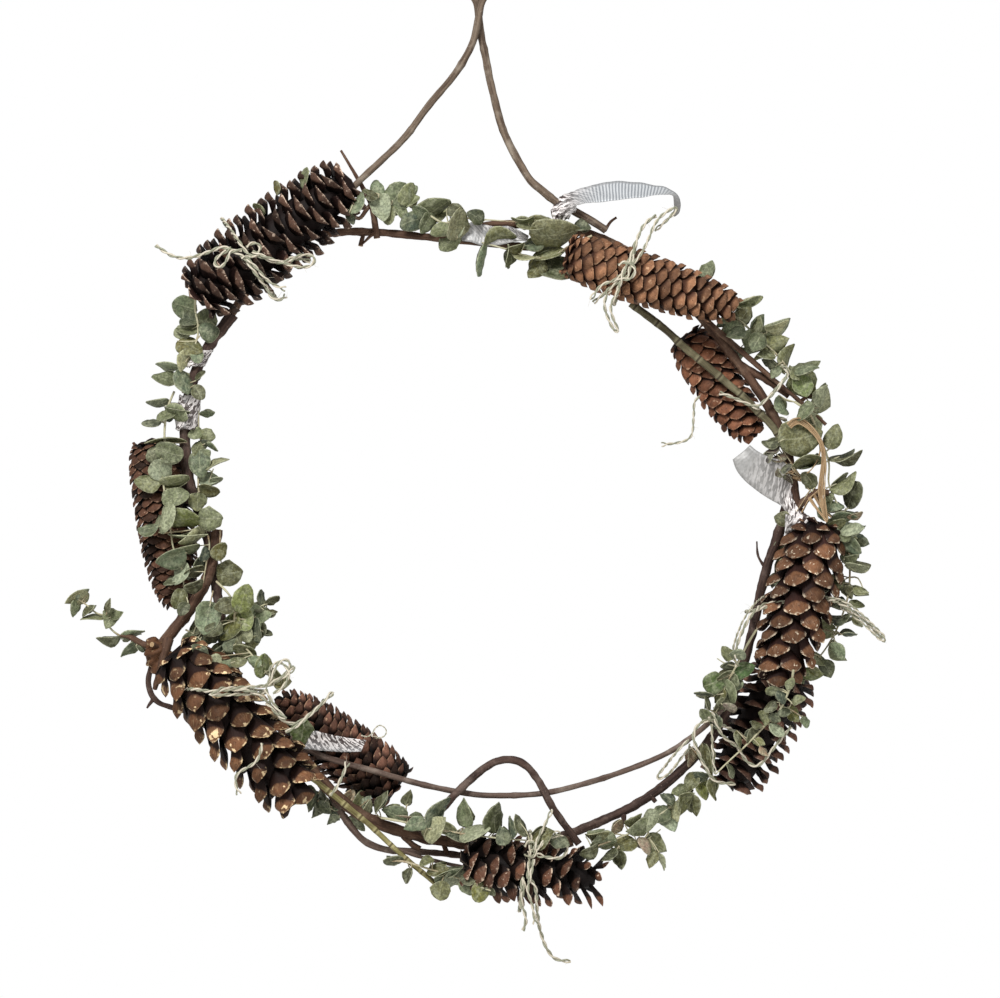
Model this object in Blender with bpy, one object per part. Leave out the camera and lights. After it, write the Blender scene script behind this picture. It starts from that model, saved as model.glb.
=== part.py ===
"""A hanging wreath of stems, nine pinecones, eucalyptus sprigs, ribbon and twine.

Every table is in millimetres about the middle of the ring: X to the right, Y to the back and Z up.
The model's own origin is where a hook carries the hanger, inside the top of its loop.
A piece that lies on others is let down on them from the front or the back, until GAP is left.
"""

import math
import random

import bmesh
import bpy
from mathutils import Vector
from mathutils.bvhtree import BVHTree

MM = 0.001

# Driving dimensions, in millimetres.
HOOK = (-11.2, 382.8)
GAP = 0.3
TWINE_RADIUS = 1.3
TIE_REACH = 42
TIE_HALF_SLAB = 2.5
TIE_CORNERS = 36
TIE_ROOM = 0.8
TIE_FALL = 0.3
TIE_LIFTS = 14
TIE_LIFT = 0.6
SHORTEST = 1.3
RIBBON_THICKNESS = 0.8
LEAF_THICKNESS = 0.9
LEAF_OUTLINE = ((0.5, 0.5), (1.0, 0.24))
LEAF_SIZES = (0.8, 1.1)
LEAF_SWEEPS = (0.2, 0.7)
LEAF_LIFTS = (0.1, 0.35, 0.7, 1.1, 1.7, 2.6)
SPRIG_RADIUS = 1.1
SPRIG_ROOM = 0.6
NODE_HALF = 1.2
RIBBON_REACH = 6.0

# Steps and limits of letting a piece down along Y, in millimetres.
FINE_STEP = 0.05
COARSE_STEP = 1.5
SETTLE_STEP = 0.1
CLEAR_STEP = 0.2
START_DEPTH = 110.0
LOWEST_DEPTH = -60.0
SETTLE_LIMIT = 30.0

# Spacing of points along the routes, in millimetres.
STEM_STEP = 16.0
BENT_STEM_STEP = 10.0
TIE_STEP = 6.0
LAY_STEP = 4.0
LEAF_SPACING = 17.0

# name, radius at the start, radius at the end, side it is let down from, route of x, y, z
STEMS = (
    ("ring_stem_left", 3.8, 3.2, None, (
        (-174, 0, 146), (-188, 0, 128), (-198, 0, 110), (-204, 0, 88), (-206, 0, 64),
        (-204, 0, 40), (-198, 0, 18), (-190, 0, -4), (-186, 0, -28), (-182, 0, -55),
        (-175, 0, -85), (-162, 0, -113), (-146, 0, -134), (-130, 0, -150))),
    ("ring_stem_top", 2.8, 2.4, "back", (
        (-183, 3, 134), (-172, 2, 152), (-157, 1, 172), (-140, 0, 188), (-122, 0, 197.5),
        (-100, 0, 200.5), (-75, 0, 200), (-50, 0, 197.5), (-20, 0, 194.5), (5, 0, 192),
        (25, 0, 190))),
    ("ring_stem_upper_right", 2.6, 3.4, "front", (
        (-38, 0, 197.5), (-20, 0, 202), (0, 1, 205), (20, 2, 205.5), (40, 3, 203.5),
        (60, 4, 199.5), (78, 4, 192), (98, 4, 180), (118, 4, 163), (134, 4, 145),
        (150, 4, 126), (166, 4, 105), (180, 4, 84), (190, 4, 62), (195, 4, 40), (196, 4, 24))),
    ("ring_stem_lower_right", 3.2, 3.0, "back", (
        (191, 0, 52), (192, 0, 25), (187, 0, 3), (180, 0, -17), (174, 0, -40), (170, 0, -60),
        (163, 0, -86), (152, 0, -118), (138, 0, -146), (120, 0, -165), (100, 0, -180),
        (76, 0, -191), (52, 0, -199), (28, 0, -204))),
    ("ring_stem_bottom", 4.2, 3.6, "front", (
        (-136, 0, -141), (-118, 1, -159), (-102, 2, -175), (-84, 4, -187), (-60, 6, -196),
        (-32, 8, -202), (0, 10, -205.5), (28, 12, -206), (50, 13, -202))),
    ("ring_stem_bottom_rear", 2.4, 2.0, "back", (
        (-110, 0, -170), (-100, 0, -187), (-88, 0, -201), (-74, 0, -207), (-56, 1, -208.5),
        (-34, 2, -210), (-12, 3, -213), (8, 4, -216))),
    ("branch_to_pinecone", 3.4, 4.0, "front", (
        (-184, 0, 4), (-187, 0, -14), (-192, 0, -31), (-201, 0, -47), (-212, 0, -61),
        (-221, 2, -73))),
    ("green_stem_bottom", 1.9, 1.7, "front", (
        (-130, 0, -152), (-107, 0, -171), (-85, 0, -189), (-70, 0, -203), (-58, 0, -214),
        (-47, 0, -223), (-40, 0, -229))),
    ("chord_stem", 2.0, 1.8, "front", (
        (-136, 0, -133), (-116, 0, -145), (-82, 0, -155), (-50, 0, -164), (-20, 0, -170),
        (0, 0, -171.5), (30, 0, -170), (60, 0, -163), (90, 0, -153), (115, 1, -142),
        (136, 3, -127), (150, 6, -113), (158, 8, -101))),
    ("arch_stem", 2.7, 2.4, "front", (
        (-50, 0, -197), (-38, 0, -182), (-20, 0, -163), (-5, 0, -151), (6, 0, -147.5),
        (17, 0, -150), (27, 0, -161), (36, 0, -178), (45, 0, -191), (54, 0, -203))),
    ("outer_stem_right", 2.2, 2.7, "front", (
        (112, 0, 162), (128, 0, 150), (150, 0, 131), (180, 0, 105), (205, 0, 84), (217, 0, 73))),
    ("green_stem_right", 2.0, 2.2, "front", (
        (88, 0, 153), (110, 0, 137), (125, 0, 122), (150, 0, 103), (178, 0, 84))),
    ("spur_twig", 2.3, 0.8, "front", (
        (-79, 0, 196), (-83, 0, 218), (-90, 0, 232), (-97, 0, 244), (-103, 0, 254))),
    ("hanger_stem", 2.4, 3.3, "front", (
        (-126, 4, 193), (-112, 3, 211), (-98, 1, 226), (-88, 0, 236), (-75, 0, 248),
        (-60, 0, 263), (-45, -1, 283), (-30, -2, 302), (-20, -2.4, 320), (-13, -2.4, 338),
        (-7, -2.2, 354), (0, -1.5, 363), (3, -0.8, 371), (-1, -0.2, 380), (-11.2, 0, 384.9),
        (-21.5, 0.2, 380), (-25.5, 0.8, 371), (-22.5, 1.5, 363), (-15, 2.2, 354),
        (-10.5, 2.4, 338), (-8, 2.4, 320), (-5, 2, 300), (-1, 1, 285), (3, 0, 270),
        (8, 0, 258), (15, 0, 245), (22, 0, 234), (30, 0, 227), (40, 0, 219), (50, 0, 214),
        (61, 0, 208), (72, 0, 201))),
)
LATE_STEMS = (
    ("loop_twig", 2.0, 1.7, "back", (
        (-218, 0, -74), (-227, 0, -85), (-230, 0, -98), (-225, 0, -109), (-213, 0, -114),
        (-199, 0, -117))),
)

# name, stalk end x and z, tip end x and z, diameter, rows of scales, scales in a row,
# core's share of the radius, lean of the scales in degrees, turn about the axis, side
PINECONES = (
    ("pinecone_lower_left", (-222, -82), (-132, -168), 60, 10, 5, 0.45, 35, 10, "front"),
    ("pinecone_upper_left", (-196, 157), (-95, 232), 59, 11, 5, 0.42, 4, 20, "front"),
    ("pinecone_right", (212, 8), (184, -100), 53, 10, 5, 0.5, 35, 0, "front"),
    ("pinecone_upper_right", (46, 184), (157, 149), 38, 10, 5, 0.74, 40, 0, "front"),
    ("pinecone_bottom", (-20, -215), (66, -223), 47, 9, 5, 0.45, 22, 0, "front"),
    ("pinecone_inner_right", (125, 133), (173, 63), 38, 9, 5, 0.66, 35, 0, "back"),
    ("pinecone_lower_right", (189, -92), (158, -164), 60, 8, 5, 0.42, 5, 0, "back"),
    ("pinecone_inner_left", (-64, -167), (-145, -109), 40, 10, 5, 0.66, 35, 0, "back"),
    ("pinecone_left", (-226, 61), (-210, -46), 42, 10, 5, 0.7, 30, 0, "back"),
)
WIDEST = 0.36
STALK_RADIUS = 3.5
BASE_REACH = 0.42
TIP_REACH = 0.66
BLUNTNESS = 0.06
CORE_LENGTH = 0.92
SCALE_WIDTH = 0.72
SCALE_HEIGHT = 0.4
SCALE_REACH = 0.94
SCALE_POINT = 0.03

# name, place x and z, direction that the pieces run in there, the pinecone that it holds to the
# stems, and its two loose ends as routes of x and z from the knot
TIES = (
    ("twine_tie_upper_left", (-165, 185), 36, "pinecone_upper_left",
     ((-176, 187), (-187, 184), (-200, 180.5), (-211, 182), (-222, 189)),
     ((-153, 181), (-142, 177), (-130, 180), (-121, 178))),
    ("twine_tie_upper_right", (84, 172), -17, "pinecone_upper_right",
     ((88, 184), (92, 195), (97, 204), (104, 209)),
     ((77, 164), (70, 158), (63, 152))),
    ("twine_tie_inner_right", (150, 92), -55, "pinecone_inner_right",
     ((163, 88), (175, 91), (188, 103)),
     ((138, 93), (130, 88), (129, 75), (121, 64), (109, 60))),
    ("twine_tie_right", (196, -43), -75, "pinecone_right",
     ((210, -41), (222, -46), (233, -54), (244, -62), (253, -68)),
     ((182, -44), (170, -48), (163, -58), (158, -70), (156, -80))),
    ("twine_tie_lower_right", (168, -132), -115,
     "pinecone_lower_right",
     ((148, -131), (159, -140), (169, -152), (174, -151), (185, -137), (194, -126)),
     ((136, -122), (129, -130), (133, -144), (140, -157), (144, -162), (157, -164))),
    ("twine_tie_bottom", (19, -217), -6, "pinecone_bottom",
     ((18, -226), (16, -238), (19, -249), (17, -257)),
     ((25, -228), (26, -242), (28, -256), (32, -268), (38, -276), (48, -278))),
    ("twine_tie_lower_left", (-192, -101), -90, "pinecone_lower_left",
     ((-180, -97), (-163, -96), (-147, -96), (-139, -91), (-132, -85)),
     ((-180, -106), (-163, -104), (-147, -108), (-140, -119), (-131, -122), (-118, -113),
      (-107, -102))),
    ("raffia_tie", (196, 40), -88, None,
     ((203, 54), (211, 63)), ((206, 34), (213, 24), (216, 12))),
)

# name, side, leaf length, leaf width, route of x and z
SPRIGS = (
    ("sprig_left_inner", "front", 17, 15, (
        (-196, 70), (-197, 52), (-195, 33), (-196, 16), (-199, 4))),
    ("sprig_left_outer", "front", 18, 14, (
        (-213, 95), (-219, 76), (-220, 60), (-221, 45), (-220, 25), (-215, 5), (-211, -12),
        (-207, -34))),
    ("sprig_upper_left", "front", 17, 14, (
        (-203, 158), (-201, 140), (-202, 126), (-209, 106), (-207, 92))),
    ("sprig_top_left", "front", 18, 15, (
        (-22, 204), (-42, 210), (-62, 215), (-80, 226))),
    ("sprig_top", "front", 14, 9, ((62, 196), (42, 194), (16, 197), (-10, 195))),
    ("sprig_right_rear", "back", 16, 13, (
        (128, 156), (150, 152), (170, 141), (188, 124), (200, 108), (205, 92))),
    ("sprig_right_outer", "front", 19, 17, (
        (196, 86), (207, 76), (214, 62), (220, 46), (226, 32), (229, 16))),
    ("sprig_right_edge", "back", 16, 11, (
        (212, 18), (226, 4), (233, -14), (234, -34), (229, -56), (221, -76), (207, -94))),
    ("sprig_right_inner", "front", 15, 12, (
        (168, -58), (159, -76), (152, -92), (147, -108), (143, -122))),
    ("sprig_lower_right", "front", 13, 11, (
        (194, -86), (191, -100), (184, -113), (175, -124), (168, -138))),
    ("sprig_bottom_right", "front", 16, 13, (
        (140, -158), (124, -172), (107, -186), (88, -195), (66, -202), (48, -206))),
    ("sprig_bottom", "front", 16, 12, (
        (-70, -184), (-46, -190), (-20, -196), (6, -198), (30, -196))),
    ("sprig_bottom_under", "front", 15, 11, (
        (-66, -212), (-46, -219), (-26, -226), (-8, -230))),
    ("sprig_lower_left", "back", 17, 13, ((-146, -166), (-128, -175), (-110, -183), (-98, -186))),
    ("sprig_left_cluster", "front", 20, 18, (
        (-178, -24), (-186, -44), (-180, -62), (-170, -78), (-156, -88), (-146, -94))),
    ("sprig_left_tip", "front", 15, 12, (
        (-192, -74), (-178, -70), (-168, -58), (-160, -48), (-150, -43))),
    ("sprig_far_left", "front", 14, 9, (
        (-217, -70), (-226, -70), (-238, -66), (-250, -66), (-258, -56), (-268, -48), (-279, -42))),
)

# name, side, width at the start, width at the end, route of x and z
RIBBONS = (
    ("ribbon_top", "front", 13, 12, ((-24, 201), (-8, 201), (10, 202), (26, 201))),
    ("ribbon_loop", "front", 10, 16, (
        (42, 214), (58, 223), (78, 229), (98, 229), (112, 224), (119, 213))),
    ("ribbon_right", "front", 26, 12, ((163, 56), (172, 44), (182, 28), (194, 12))),
    ("ribbon_lower_left", "front", 12, 9, ((-125, -134), (-112, -136), (-98, -138), (-87, -139))),
)

# name, height of its middle, width along the stem
RING_LEFT = -205
BAND_CORNERS = 20
RIBBON_BANDS = (
    ("ribbon_band_upper", 119, 11),
    ("ribbon_band_lower", 82, 22),
)

COLOURS = {
    "bark": (0.125, 0.078, 0.055, 1.0),
    "green_bark": (0.30, 0.28, 0.13, 1.0),
    "scale": (0.145, 0.078, 0.045, 1.0),
    "dark_scale": (0.055, 0.032, 0.024, 1.0),
    "leaf": (0.22, 0.27, 0.19, 1.0),
    "twine": (0.70, 0.68, 0.60, 1.0),
    "raffia": (0.55, 0.38, 0.18, 1.0),
    "ribbon": (0.80, 0.80, 0.80, 1.0),
}
DARK_CONES = ("pinecone_upper_left", "pinecone_lower_right", "pinecone_inner_left")


def clear_scene():
    for thing in list(bpy.data.objects):
        bpy.data.objects.remove(thing, do_unlink=True)


def material(slot):
    found = bpy.data.materials.get(slot)
    if found:
        return found
    made = bpy.data.materials.new(slot)
    made.use_nodes = True
    shader = made.node_tree.nodes["Principled BSDF"]
    shader.inputs["Base Color"].default_value = COLOURS[slot]
    shader.inputs["Roughness"].default_value = 0.75
    shader.inputs["Metallic"].default_value = 0.0
    return made


def add_object(name, data, slot):
    made = bpy.data.objects.new(name, data)
    data.materials.append(material(slot))
    bpy.context.scene.collection.objects.link(made)
    return made


def close(name, shape, slot):
    """Turns a bmesh in millimetres into an object in metres, with its faces outward."""
    bmesh.ops.recalc_face_normals(shape, faces=shape.faces)
    bmesh.ops.scale(shape, vec=(MM, MM, MM), verts=shape.verts)
    data = bpy.data.meshes.new(name)
    shape.to_mesh(data)
    shape.free()
    return add_object(name, data, slot)


# ---------------------------------------------------------------- routes

def curve_point(points, index, share):
    """A point on the Catmull-Rom curve through points, share of the way from one to the next."""
    last = len(points) - 1
    a, b, c, d = (points[min(max(index + step, 0), last)] for step in (-1, 0, 1, 2))
    return 0.5 * (
        2 * b + (c - a) * share + (2 * a - 5 * b + 4 * c - d) * share ** 2
        + (3 * b - a - 3 * c + d) * share ** 3)


def smooth_route(points, step):
    """Points about a step apart on the smooth curve through the given ones."""
    points = [Vector(point) for point in points]
    fine = [
        curve_point(points, index, part / 12)
        for index in range(len(points) - 1) for part in range(12)]
    fine.append(points[-1])
    lengths = [0.0]
    for one, other in zip(fine, fine[1:]):
        lengths.append(lengths[-1] + (other - one).length)
    count = max(2, round(lengths[-1] / step) + 1)
    route = []
    spot = 0
    for index in range(count):
        wanted = lengths[-1] * index / (count - 1)
        while spot < len(fine) - 2 and lengths[spot + 1] < wanted:
            spot += 1
        span = lengths[spot + 1] - lengths[spot]
        share = (wanted - lengths[spot]) / span if span else 0.0
        route.append(fine[spot].lerp(fine[spot + 1], min(share, 1.0)))
    return route


def directions(route):
    """The direction of travel at each point of a route."""
    last = len(route) - 1
    return [
        (route[min(index + 1, last)] - route[max(index - 1, 0)]).normalized()
        for index in range(last + 1)]


# ---------------------------------------------------------------- what is there already

class Built:
    """The pieces in place so far, as search trees in millimetres about the ring's middle."""

    def __init__(self):
        self.trees = {}
        self.shapes = {}

    def add(self, made):
        corners, faces = triangles(made)
        self.shapes[made.name] = (corners, faces)
        self.trees[made.name] = BVHTree.FromPolygons(corners, faces)

    def hit(self, corners, faces):
        tree = BVHTree.FromPolygons(corners, faces)
        return any(tree.overlap(other) for other in self.trees.values())

    def surface(self, x, z, side, reach):
        """The y of the outermost surface near x, z as met from that side, or None."""
        sign = -1 if side == "front" else 1
        best = None
        for turn in range(9):
            spread = reach if turn else 0.0
            angle = turn * math.pi / 4
            start = Vector((x + spread * math.cos(angle), 300 * sign, z + spread * math.sin(angle)))
            for tree in self.trees.values():
                place = tree.ray_cast(start, Vector((0, -sign, 0)), 600)[0]
                if place is not None and (best is None or place.y * sign > best * sign):
                    best = place.y
        return best


def triangles(made):
    """An object's evaluated corners, in millimetres where it stands, and its faces."""
    bpy.context.view_layer.update()
    seen = made.evaluated_get(bpy.context.evaluated_depsgraph_get())
    mesh = seen.to_mesh()
    corners = [made.matrix_basis @ vertex.co / MM for vertex in mesh.vertices]
    faces = [tuple(face.vertices) for face in mesh.polygons]
    seen.to_mesh_clear()
    return corners, faces


def let_down(made, side, built):
    """Moves a piece along Y from the front or back until it lies on what is there, GAP clear."""
    sign = -1 if side == "front" else 1
    corners, faces = triangles(made)

    def blocked(offset):
        moved = [corner + Vector((0, offset, 0)) for corner in corners]
        return built.hit(moved, faces)

    offset = START_DEPTH * sign
    for step in (COARSE_STEP, FINE_STEP):
        while offset * sign > LOWEST_DEPTH and not blocked(offset - step * sign):
            offset -= step * sign
    offset += (GAP - FINE_STEP) * sign
    made.location.y += offset * MM


# ---------------------------------------------------------------- stems

def tube(name, route, radii, slot, sides_level):
    """A tube with flat ends along a route in millimetres."""
    data = bpy.data.curves.new(name, "CURVE")
    data.dimensions = "3D"
    data.bevel_depth = MM
    data.bevel_resolution = sides_level
    data.resolution_u = 1
    data.render_resolution_u = 0
    data.use_fill_caps = True
    line = data.splines.new("POLY")
    line.points.add(len(route) - 1)
    for index, (point, place) in enumerate(zip(line.points, route)):
        point.co = (*(place * MM), 1.0)
        point.radius = radii(index / (len(route) - 1))
    return add_object(name, data, slot)


def add_stems(stems, built):
    for name, start, end, side, points in stems:
        step = BENT_STEM_STEP if name in ("hanger_stem", "arch_stem") else STEM_STEP
        slot = "green_bark" if name.startswith("green") else "bark"
        made = tube(
            name, smooth_route(points, step),
            lambda share, a=start, b=end: a + (b - a) * share, slot, 1)
        if side:
            let_down(made, side, built)
        built.add(made)


# ---------------------------------------------------------------- pinecones

def swell(share):
    """The outline's radius as a share of the greatest, from the stalk at 0 to the tip at 1."""
    reach = BASE_REACH if share < WIDEST else TIP_REACH
    return max(1 - ((share - WIDEST) / reach) ** 2, BLUNTNESS) ** 0.4


def pinecone(name, length, radius, rows, around, core, lean, turn):
    """One solid along Z: a turned core, with a scale drawn out of every other facet."""
    columns = 2 * around
    shape = bmesh.new()
    rings = []
    corners = [
        (math.cos(angle), math.sin(angle))
        for angle in (2 * math.pi * column / columns + math.radians(turn)
                      for column in range(columns))]
    pitch = CORE_LENGTH * length / rows
    low = -CORE_LENGTH * length / 2
    for row in range(rows + 1):
        size = core * radius * swell(row / rows)
        rings.append([
            shape.verts.new((size * x, size * y, low + pitch * row)) for x, y in corners])
    rings.insert(0, [
        shape.verts.new((STALK_RADIUS * x, STALK_RADIUS * y, -length / 2)) for x, y in corners])
    scales = []
    for row in range(len(rings) - 1):
        for column in range(columns):
            after = (column + 1) % columns
            facet = shape.faces.new((
                rings[row][column], rings[row][after],
                rings[row + 1][after], rings[row + 1][column]))
            if row > 0 and (row + column) % 2 == 0:
                scales.append(facet)
    shape.faces.new(list(reversed(rings[0])))
    shape.faces.new(rings[-1])
    drawn = bmesh.ops.extrude_discrete_faces(shape, faces=scales)["faces"]
    for facet in drawn:
        draw_scale(facet, length, radius, core, lean, columns, pitch)
    bmesh.ops.poke(shape, faces=drawn, offset=SCALE_POINT * radius)
    return close(name, shape, "dark_scale" if name in DARK_CONES else "scale")


def draw_scale(facet, length, radius, core, lean, columns, pitch):
    """Moves a drawn-out facet to the outline, wide and thin, leaning towards the tip."""
    middle = facet.calc_center_median()
    share = middle.z / (CORE_LENGTH * length) + 0.5
    outer = radius * swell(share)
    inner = core * outer
    out = Vector((middle.x, middle.y, 0)).normalized()
    across = Vector((-out.y, out.x, 0))
    half_width = SCALE_WIDTH * 2 * math.pi * outer / columns
    half_height = SCALE_HEIGHT * pitch / 2
    rise = (outer - inner) * math.tan(math.radians(lean))
    level = min(middle.z + rise, 0.5 * length - half_height)
    for corner in facet.verts:
        sideways = half_width if across.dot(corner.co) > 0 else -half_width
        upward = half_height if corner.co.z > middle.z else -half_height
        corner.co = SCALE_REACH * outer * out + sideways * across
        corner.co.z += level + upward


def add_pinecones(built):
    for name, base, tip, width, rows, around, core, lean, turn, side in PINECONES:
        base = Vector((base[0], 0, base[1]))
        tip = Vector((tip[0], 0, tip[1]))
        made = pinecone(
            name, (tip - base).length, width / 2, rows, around, core, lean, turn)
        made.rotation_euler = (tip - base).to_track_quat("Z", "Y").to_euler()
        made.location = (base + tip) / 2 * MM
        bpy.context.view_layer.update()
        let_down(made, side, built)
        built.add(made)


# ---------------------------------------------------------------- ties and bands

def slice_outline(built, names, place, along, half_width):
    """The corners of a slab's cut through pieces near a place: sideways from it, and Y."""
    sideways = Vector((0, 1, 0)).cross(along).normalized()
    found = []
    for name in names:
        corners, faces = built.shapes[name]
        for face in faces:
            for index, corner in enumerate(face):
                start = corners[corner] - place
                end = corners[face[index - 1]] - place
                depth_start, depth_end = start.dot(along), end.dot(along)
                low, high = 0.0, 1.0
                slope = depth_end - depth_start
                if abs(slope) < 1e-9:
                    if abs(depth_start) > half_width:
                        continue
                else:
                    cuts = sorted(
                        (limit - depth_start) / slope for limit in (-half_width, half_width))
                    low, high = max(low, cuts[0]), min(high, cuts[1])
                    if low > high:
                        continue
                for share in (low, high):
                    spot = start.lerp(end, share)
                    if abs(spot.dot(sideways)) < TIE_REACH:
                        found.append((spot.dot(sideways), spot.y + place.y))
    return sideways, found


def hoop(built, names, place, along, half_width, clear, count, start_angle, shortest=SHORTEST):
    """A convex loop of points that clears the cut pieces, from the front and round."""
    sideways, found = slice_outline(built, names, place, along, half_width)
    loop = []
    for index in range(count):
        angle = start_angle + 2 * math.pi * index / count
        out = (math.cos(angle), math.sin(angle))
        far = max(found, key=lambda spot: spot[0] * out[0] + spot[1] * out[1])
        spot = place + sideways * (far[0] + clear * out[0])
        spot.y = far[1] + clear * out[1]
        if not loop or (spot - loop[-1]).length >= shortest:
            loop.append(spot)
    return loop


def loose_end(points, knot, lift, built):
    """An end of twine from its knot over the surface in front, as points in millimetres."""
    reach = TWINE_RADIUS + TIE_ROOM + lift
    depth = knot.y
    laid = []
    for place in smooth_route([(knot.x, 0, knot.z)] + [(x, 0, z) for x, z in points], LAY_STEP):
        surface = built.surface(place.x, place.z, "front", reach - lift)
        depth += TIE_FALL * LAY_STEP
        if surface is not None:
            depth = min(depth, surface - reach)
        laid.append(Vector((place.x, depth, place.z)))
    for _ in range(4):
        for index in range(1, len(laid) - 1):
            mean = (laid[index - 1].y + laid[index + 1].y) / 2
            laid[index].y = min(laid[index].y, mean)
    return smooth_route(laid, TIE_STEP)[1:]


def add_ties(built):
    stems = [name for name, *_ in STEMS]
    for name, spot, angle, held, first_end, second_end in TIES:
        along = Vector((math.cos(math.radians(angle)), 0, math.sin(math.radians(angle))))
        place = Vector((spot[0], 0, spot[1]))
        clear = TWINE_RADIUS + 2 * GAP
        names = stems + [held] if held else stems
        loop = hoop(
            built, names, place, along, TIE_HALF_SLAB + clear, clear, TIE_CORNERS, -math.pi / 2)
        loop.append(loop[0].copy())
        last = len(loop) - 1
        for index, point in enumerate(loop):
            point += along * (2 * index / last - 1) * clear
        slot = "raffia" if name.startswith("raffia") else "twine"
        for lift in range(TIE_LIFTS):
            before = loose_end(first_end, loop[0], TIE_LIFT * lift, built)
            after = loose_end(second_end, loop[-1], TIE_LIFT * lift, built)
            made = tube(
                name, list(reversed(before)) + loop + after, lambda share: TWINE_RADIUS, slot, 1)
            if not built.hit(*triangles(made)):
                break
            loop[0].y -= TIE_LIFT
            loop[-1].y -= TIE_LIFT
            bpy.data.objects.remove(made, do_unlink=True)
        built.add(made)


def band(name, height, width, built):
    """A closed band of ribbon round the left side of the ring."""
    place = Vector((RING_LEFT, 0, height))
    along = Vector((0, 0, 1))
    names = ("ring_stem_left",)
    rings = []
    for level in (-width / 2, width / 2):
        for clear in (GAP, GAP + RIBBON_THICKNESS):
            ring = hoop(built, names, place, along, width / 2 + 1, clear, BAND_CORNERS, 0.0, 0.0)
            rings.append([point + along * level for point in ring])
    shape = bmesh.new()
    inner_low, outer_low, inner_high, outer_high = (
        [shape.verts.new(point) for point in ring] for ring in rings)
    pairs = (
        (inner_low, outer_low), (outer_low, outer_high),
        (outer_high, inner_high), (inner_high, inner_low))
    count = len(inner_low)
    for one, other in pairs:
        for index in range(count):
            after = (index + 1) % count
            shape.faces.new((one[index], one[after], other[after], other[index]))
    return close(name, shape, "ribbon")


def add_bands(built):
    for name, height, width in RIBBON_BANDS:
        built.add(band(name, height, width, built))


# ---------------------------------------------------------------- sprigs

def laid_route(points, side, built, step, reach, default):
    """A route over what is there, as seen from the front or the back."""
    sign = -1 if side == "front" else 1
    flat = smooth_route([(x, 0, z) for x, z in points], step)
    floors = []
    for place in flat:
        surface = built.surface(place.x, place.z, side, reach)
        floors.append(None if surface is None else surface + sign * reach)
    depths = [default if floor is None else floor for floor in floors]
    for _ in range(6):
        for index, floor in enumerate(floors):
            near = depths[max(index - 1, 0):index + 2]
            depths[index] = sum(near) / len(near)
            if floor is not None:
                depths[index] = max(depths[index] * sign, floor * sign) * sign
    return [Vector((place.x, depth, place.z)) for place, depth in zip(flat, depths)]


def leaf_sections(root, out, face, length, width):
    """Corners of a leaf plate's cross-sections, from its foot to its end."""
    across = out.cross(face).normalized()
    sections = []
    for share, broad in LEAF_OUTLINE:
        middle = root + out * length * share
        half = across * width * broad
        thick = face * LEAF_THICKNESS / 2
        sections.append((middle - half - thick, middle + half - thick,
                         middle + half + thick, middle - half + thick))
    return sections


def leaf_solid(root, out, face, length, width):
    """A loose leaf with a little room round it, to test whether it fits."""
    across = out.cross(face).normalized()
    foot = root + out * SPRIG_RADIUS
    corners = [foot - across - face, foot + across - face, foot + across + face,
               foot - across + face]
    for section in leaf_sections(root, out, face, length + GAP, width + 2 * GAP):
        middle = sum(section, Vector()) / 4
        corners += [corner + (GAP * face if (corner - middle).dot(face) > 0 else -GAP * face)
                    for corner in section]
    faces = [(0, 1, 2, 3), (8, 9, 10, 11)]
    for start in (0, 4):
        for side in range(4):
            after = (side + 1) % 4
            faces.append((start + side, start + after, start + 4 + after, start + 4 + side))
    return corners, faces


def sprig(name, length, width, route, face_out, built, chance):
    """One solid: a thin stem, with pairs of leaves drawn out of its sides."""
    heading = directions(route)
    total = sum((b - a).length for a, b in zip(route, route[1:]))
    pairs = max(3, int(total / LEAF_SPACING))
    nodes = []
    for pair in range(pairs):
        place = (pair + 0.5) / pairs * (len(route) - 1)
        index = min(int(place), len(route) - 2)
        spot = route[index].lerp(route[index + 1], place - index)
        nodes.append((spot, heading[index].lerp(heading[index + 1], place - index).normalized()))
    places = [(route[0], heading[0])]
    for spot, along in nodes:
        places += [(spot - along * NODE_HALF, along), (spot + along * NODE_HALF, along)]
    places.append((route[-1], heading[-1]))
    shape = bmesh.new()
    rings = []
    for spot, along in places:
        across = along.cross(face_out).normalized() * SPRIG_RADIUS * math.sqrt(0.5)
        front = across.cross(along)
        rings.append([
            shape.verts.new(spot + corner)
            for corner in (across + front, front - across, -across - front, across - front)])
    facets = []
    for low, high in zip(rings, rings[1:]):
        facets.append([
            shape.faces.new((low[corner], low[(corner + 1) % 4],
                             high[(corner + 1) % 4], high[corner]))
            for corner in range(4)])
    shape.faces.new(list(reversed(rings[0])))
    shape.faces.new(rings[-1])
    own = []
    for pair, (spot, along) in enumerate(nodes):
        for facet in facets[2 * pair + 1]:
            out = (facet.calc_center_median() - spot).normalized()
            if abs(out.dot(face_out)) < 0.7:
                grow_leaf(shape, facet, spot, along, out, face_out, length, width,
                          built, own, chance)
    return close(name, shape, "leaf")


def grow_leaf(shape, facet, spot, along, aside, face_out, length, width, built, own, chance):
    """Draws a leaf out of one facet of a stem, at the first tilt where it is clear of the rest."""
    size = chance.uniform(*LEAF_SIZES)
    sweep = chance.uniform(*LEAF_SWEEPS)
    for lift in LEAF_LIFTS:
        out = (aside + along * sweep + face_out * lift).normalized()
        face = (face_out - out * face_out.dot(out)).normalized()
        tree = BVHTree.FromPolygons(*leaf_solid(spot, out, face, length * size, width * size))
        if any(tree.overlap(other) for other in (*built.trees.values(), *own)):
            continue
        own.append(tree)
        for section in leaf_sections(spot, out, face, length * size, width * size):
            facet = bmesh.ops.extrude_discrete_faces(shape, faces=[facet])["faces"][0]
            match_corners(facet, section)
        return


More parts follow.
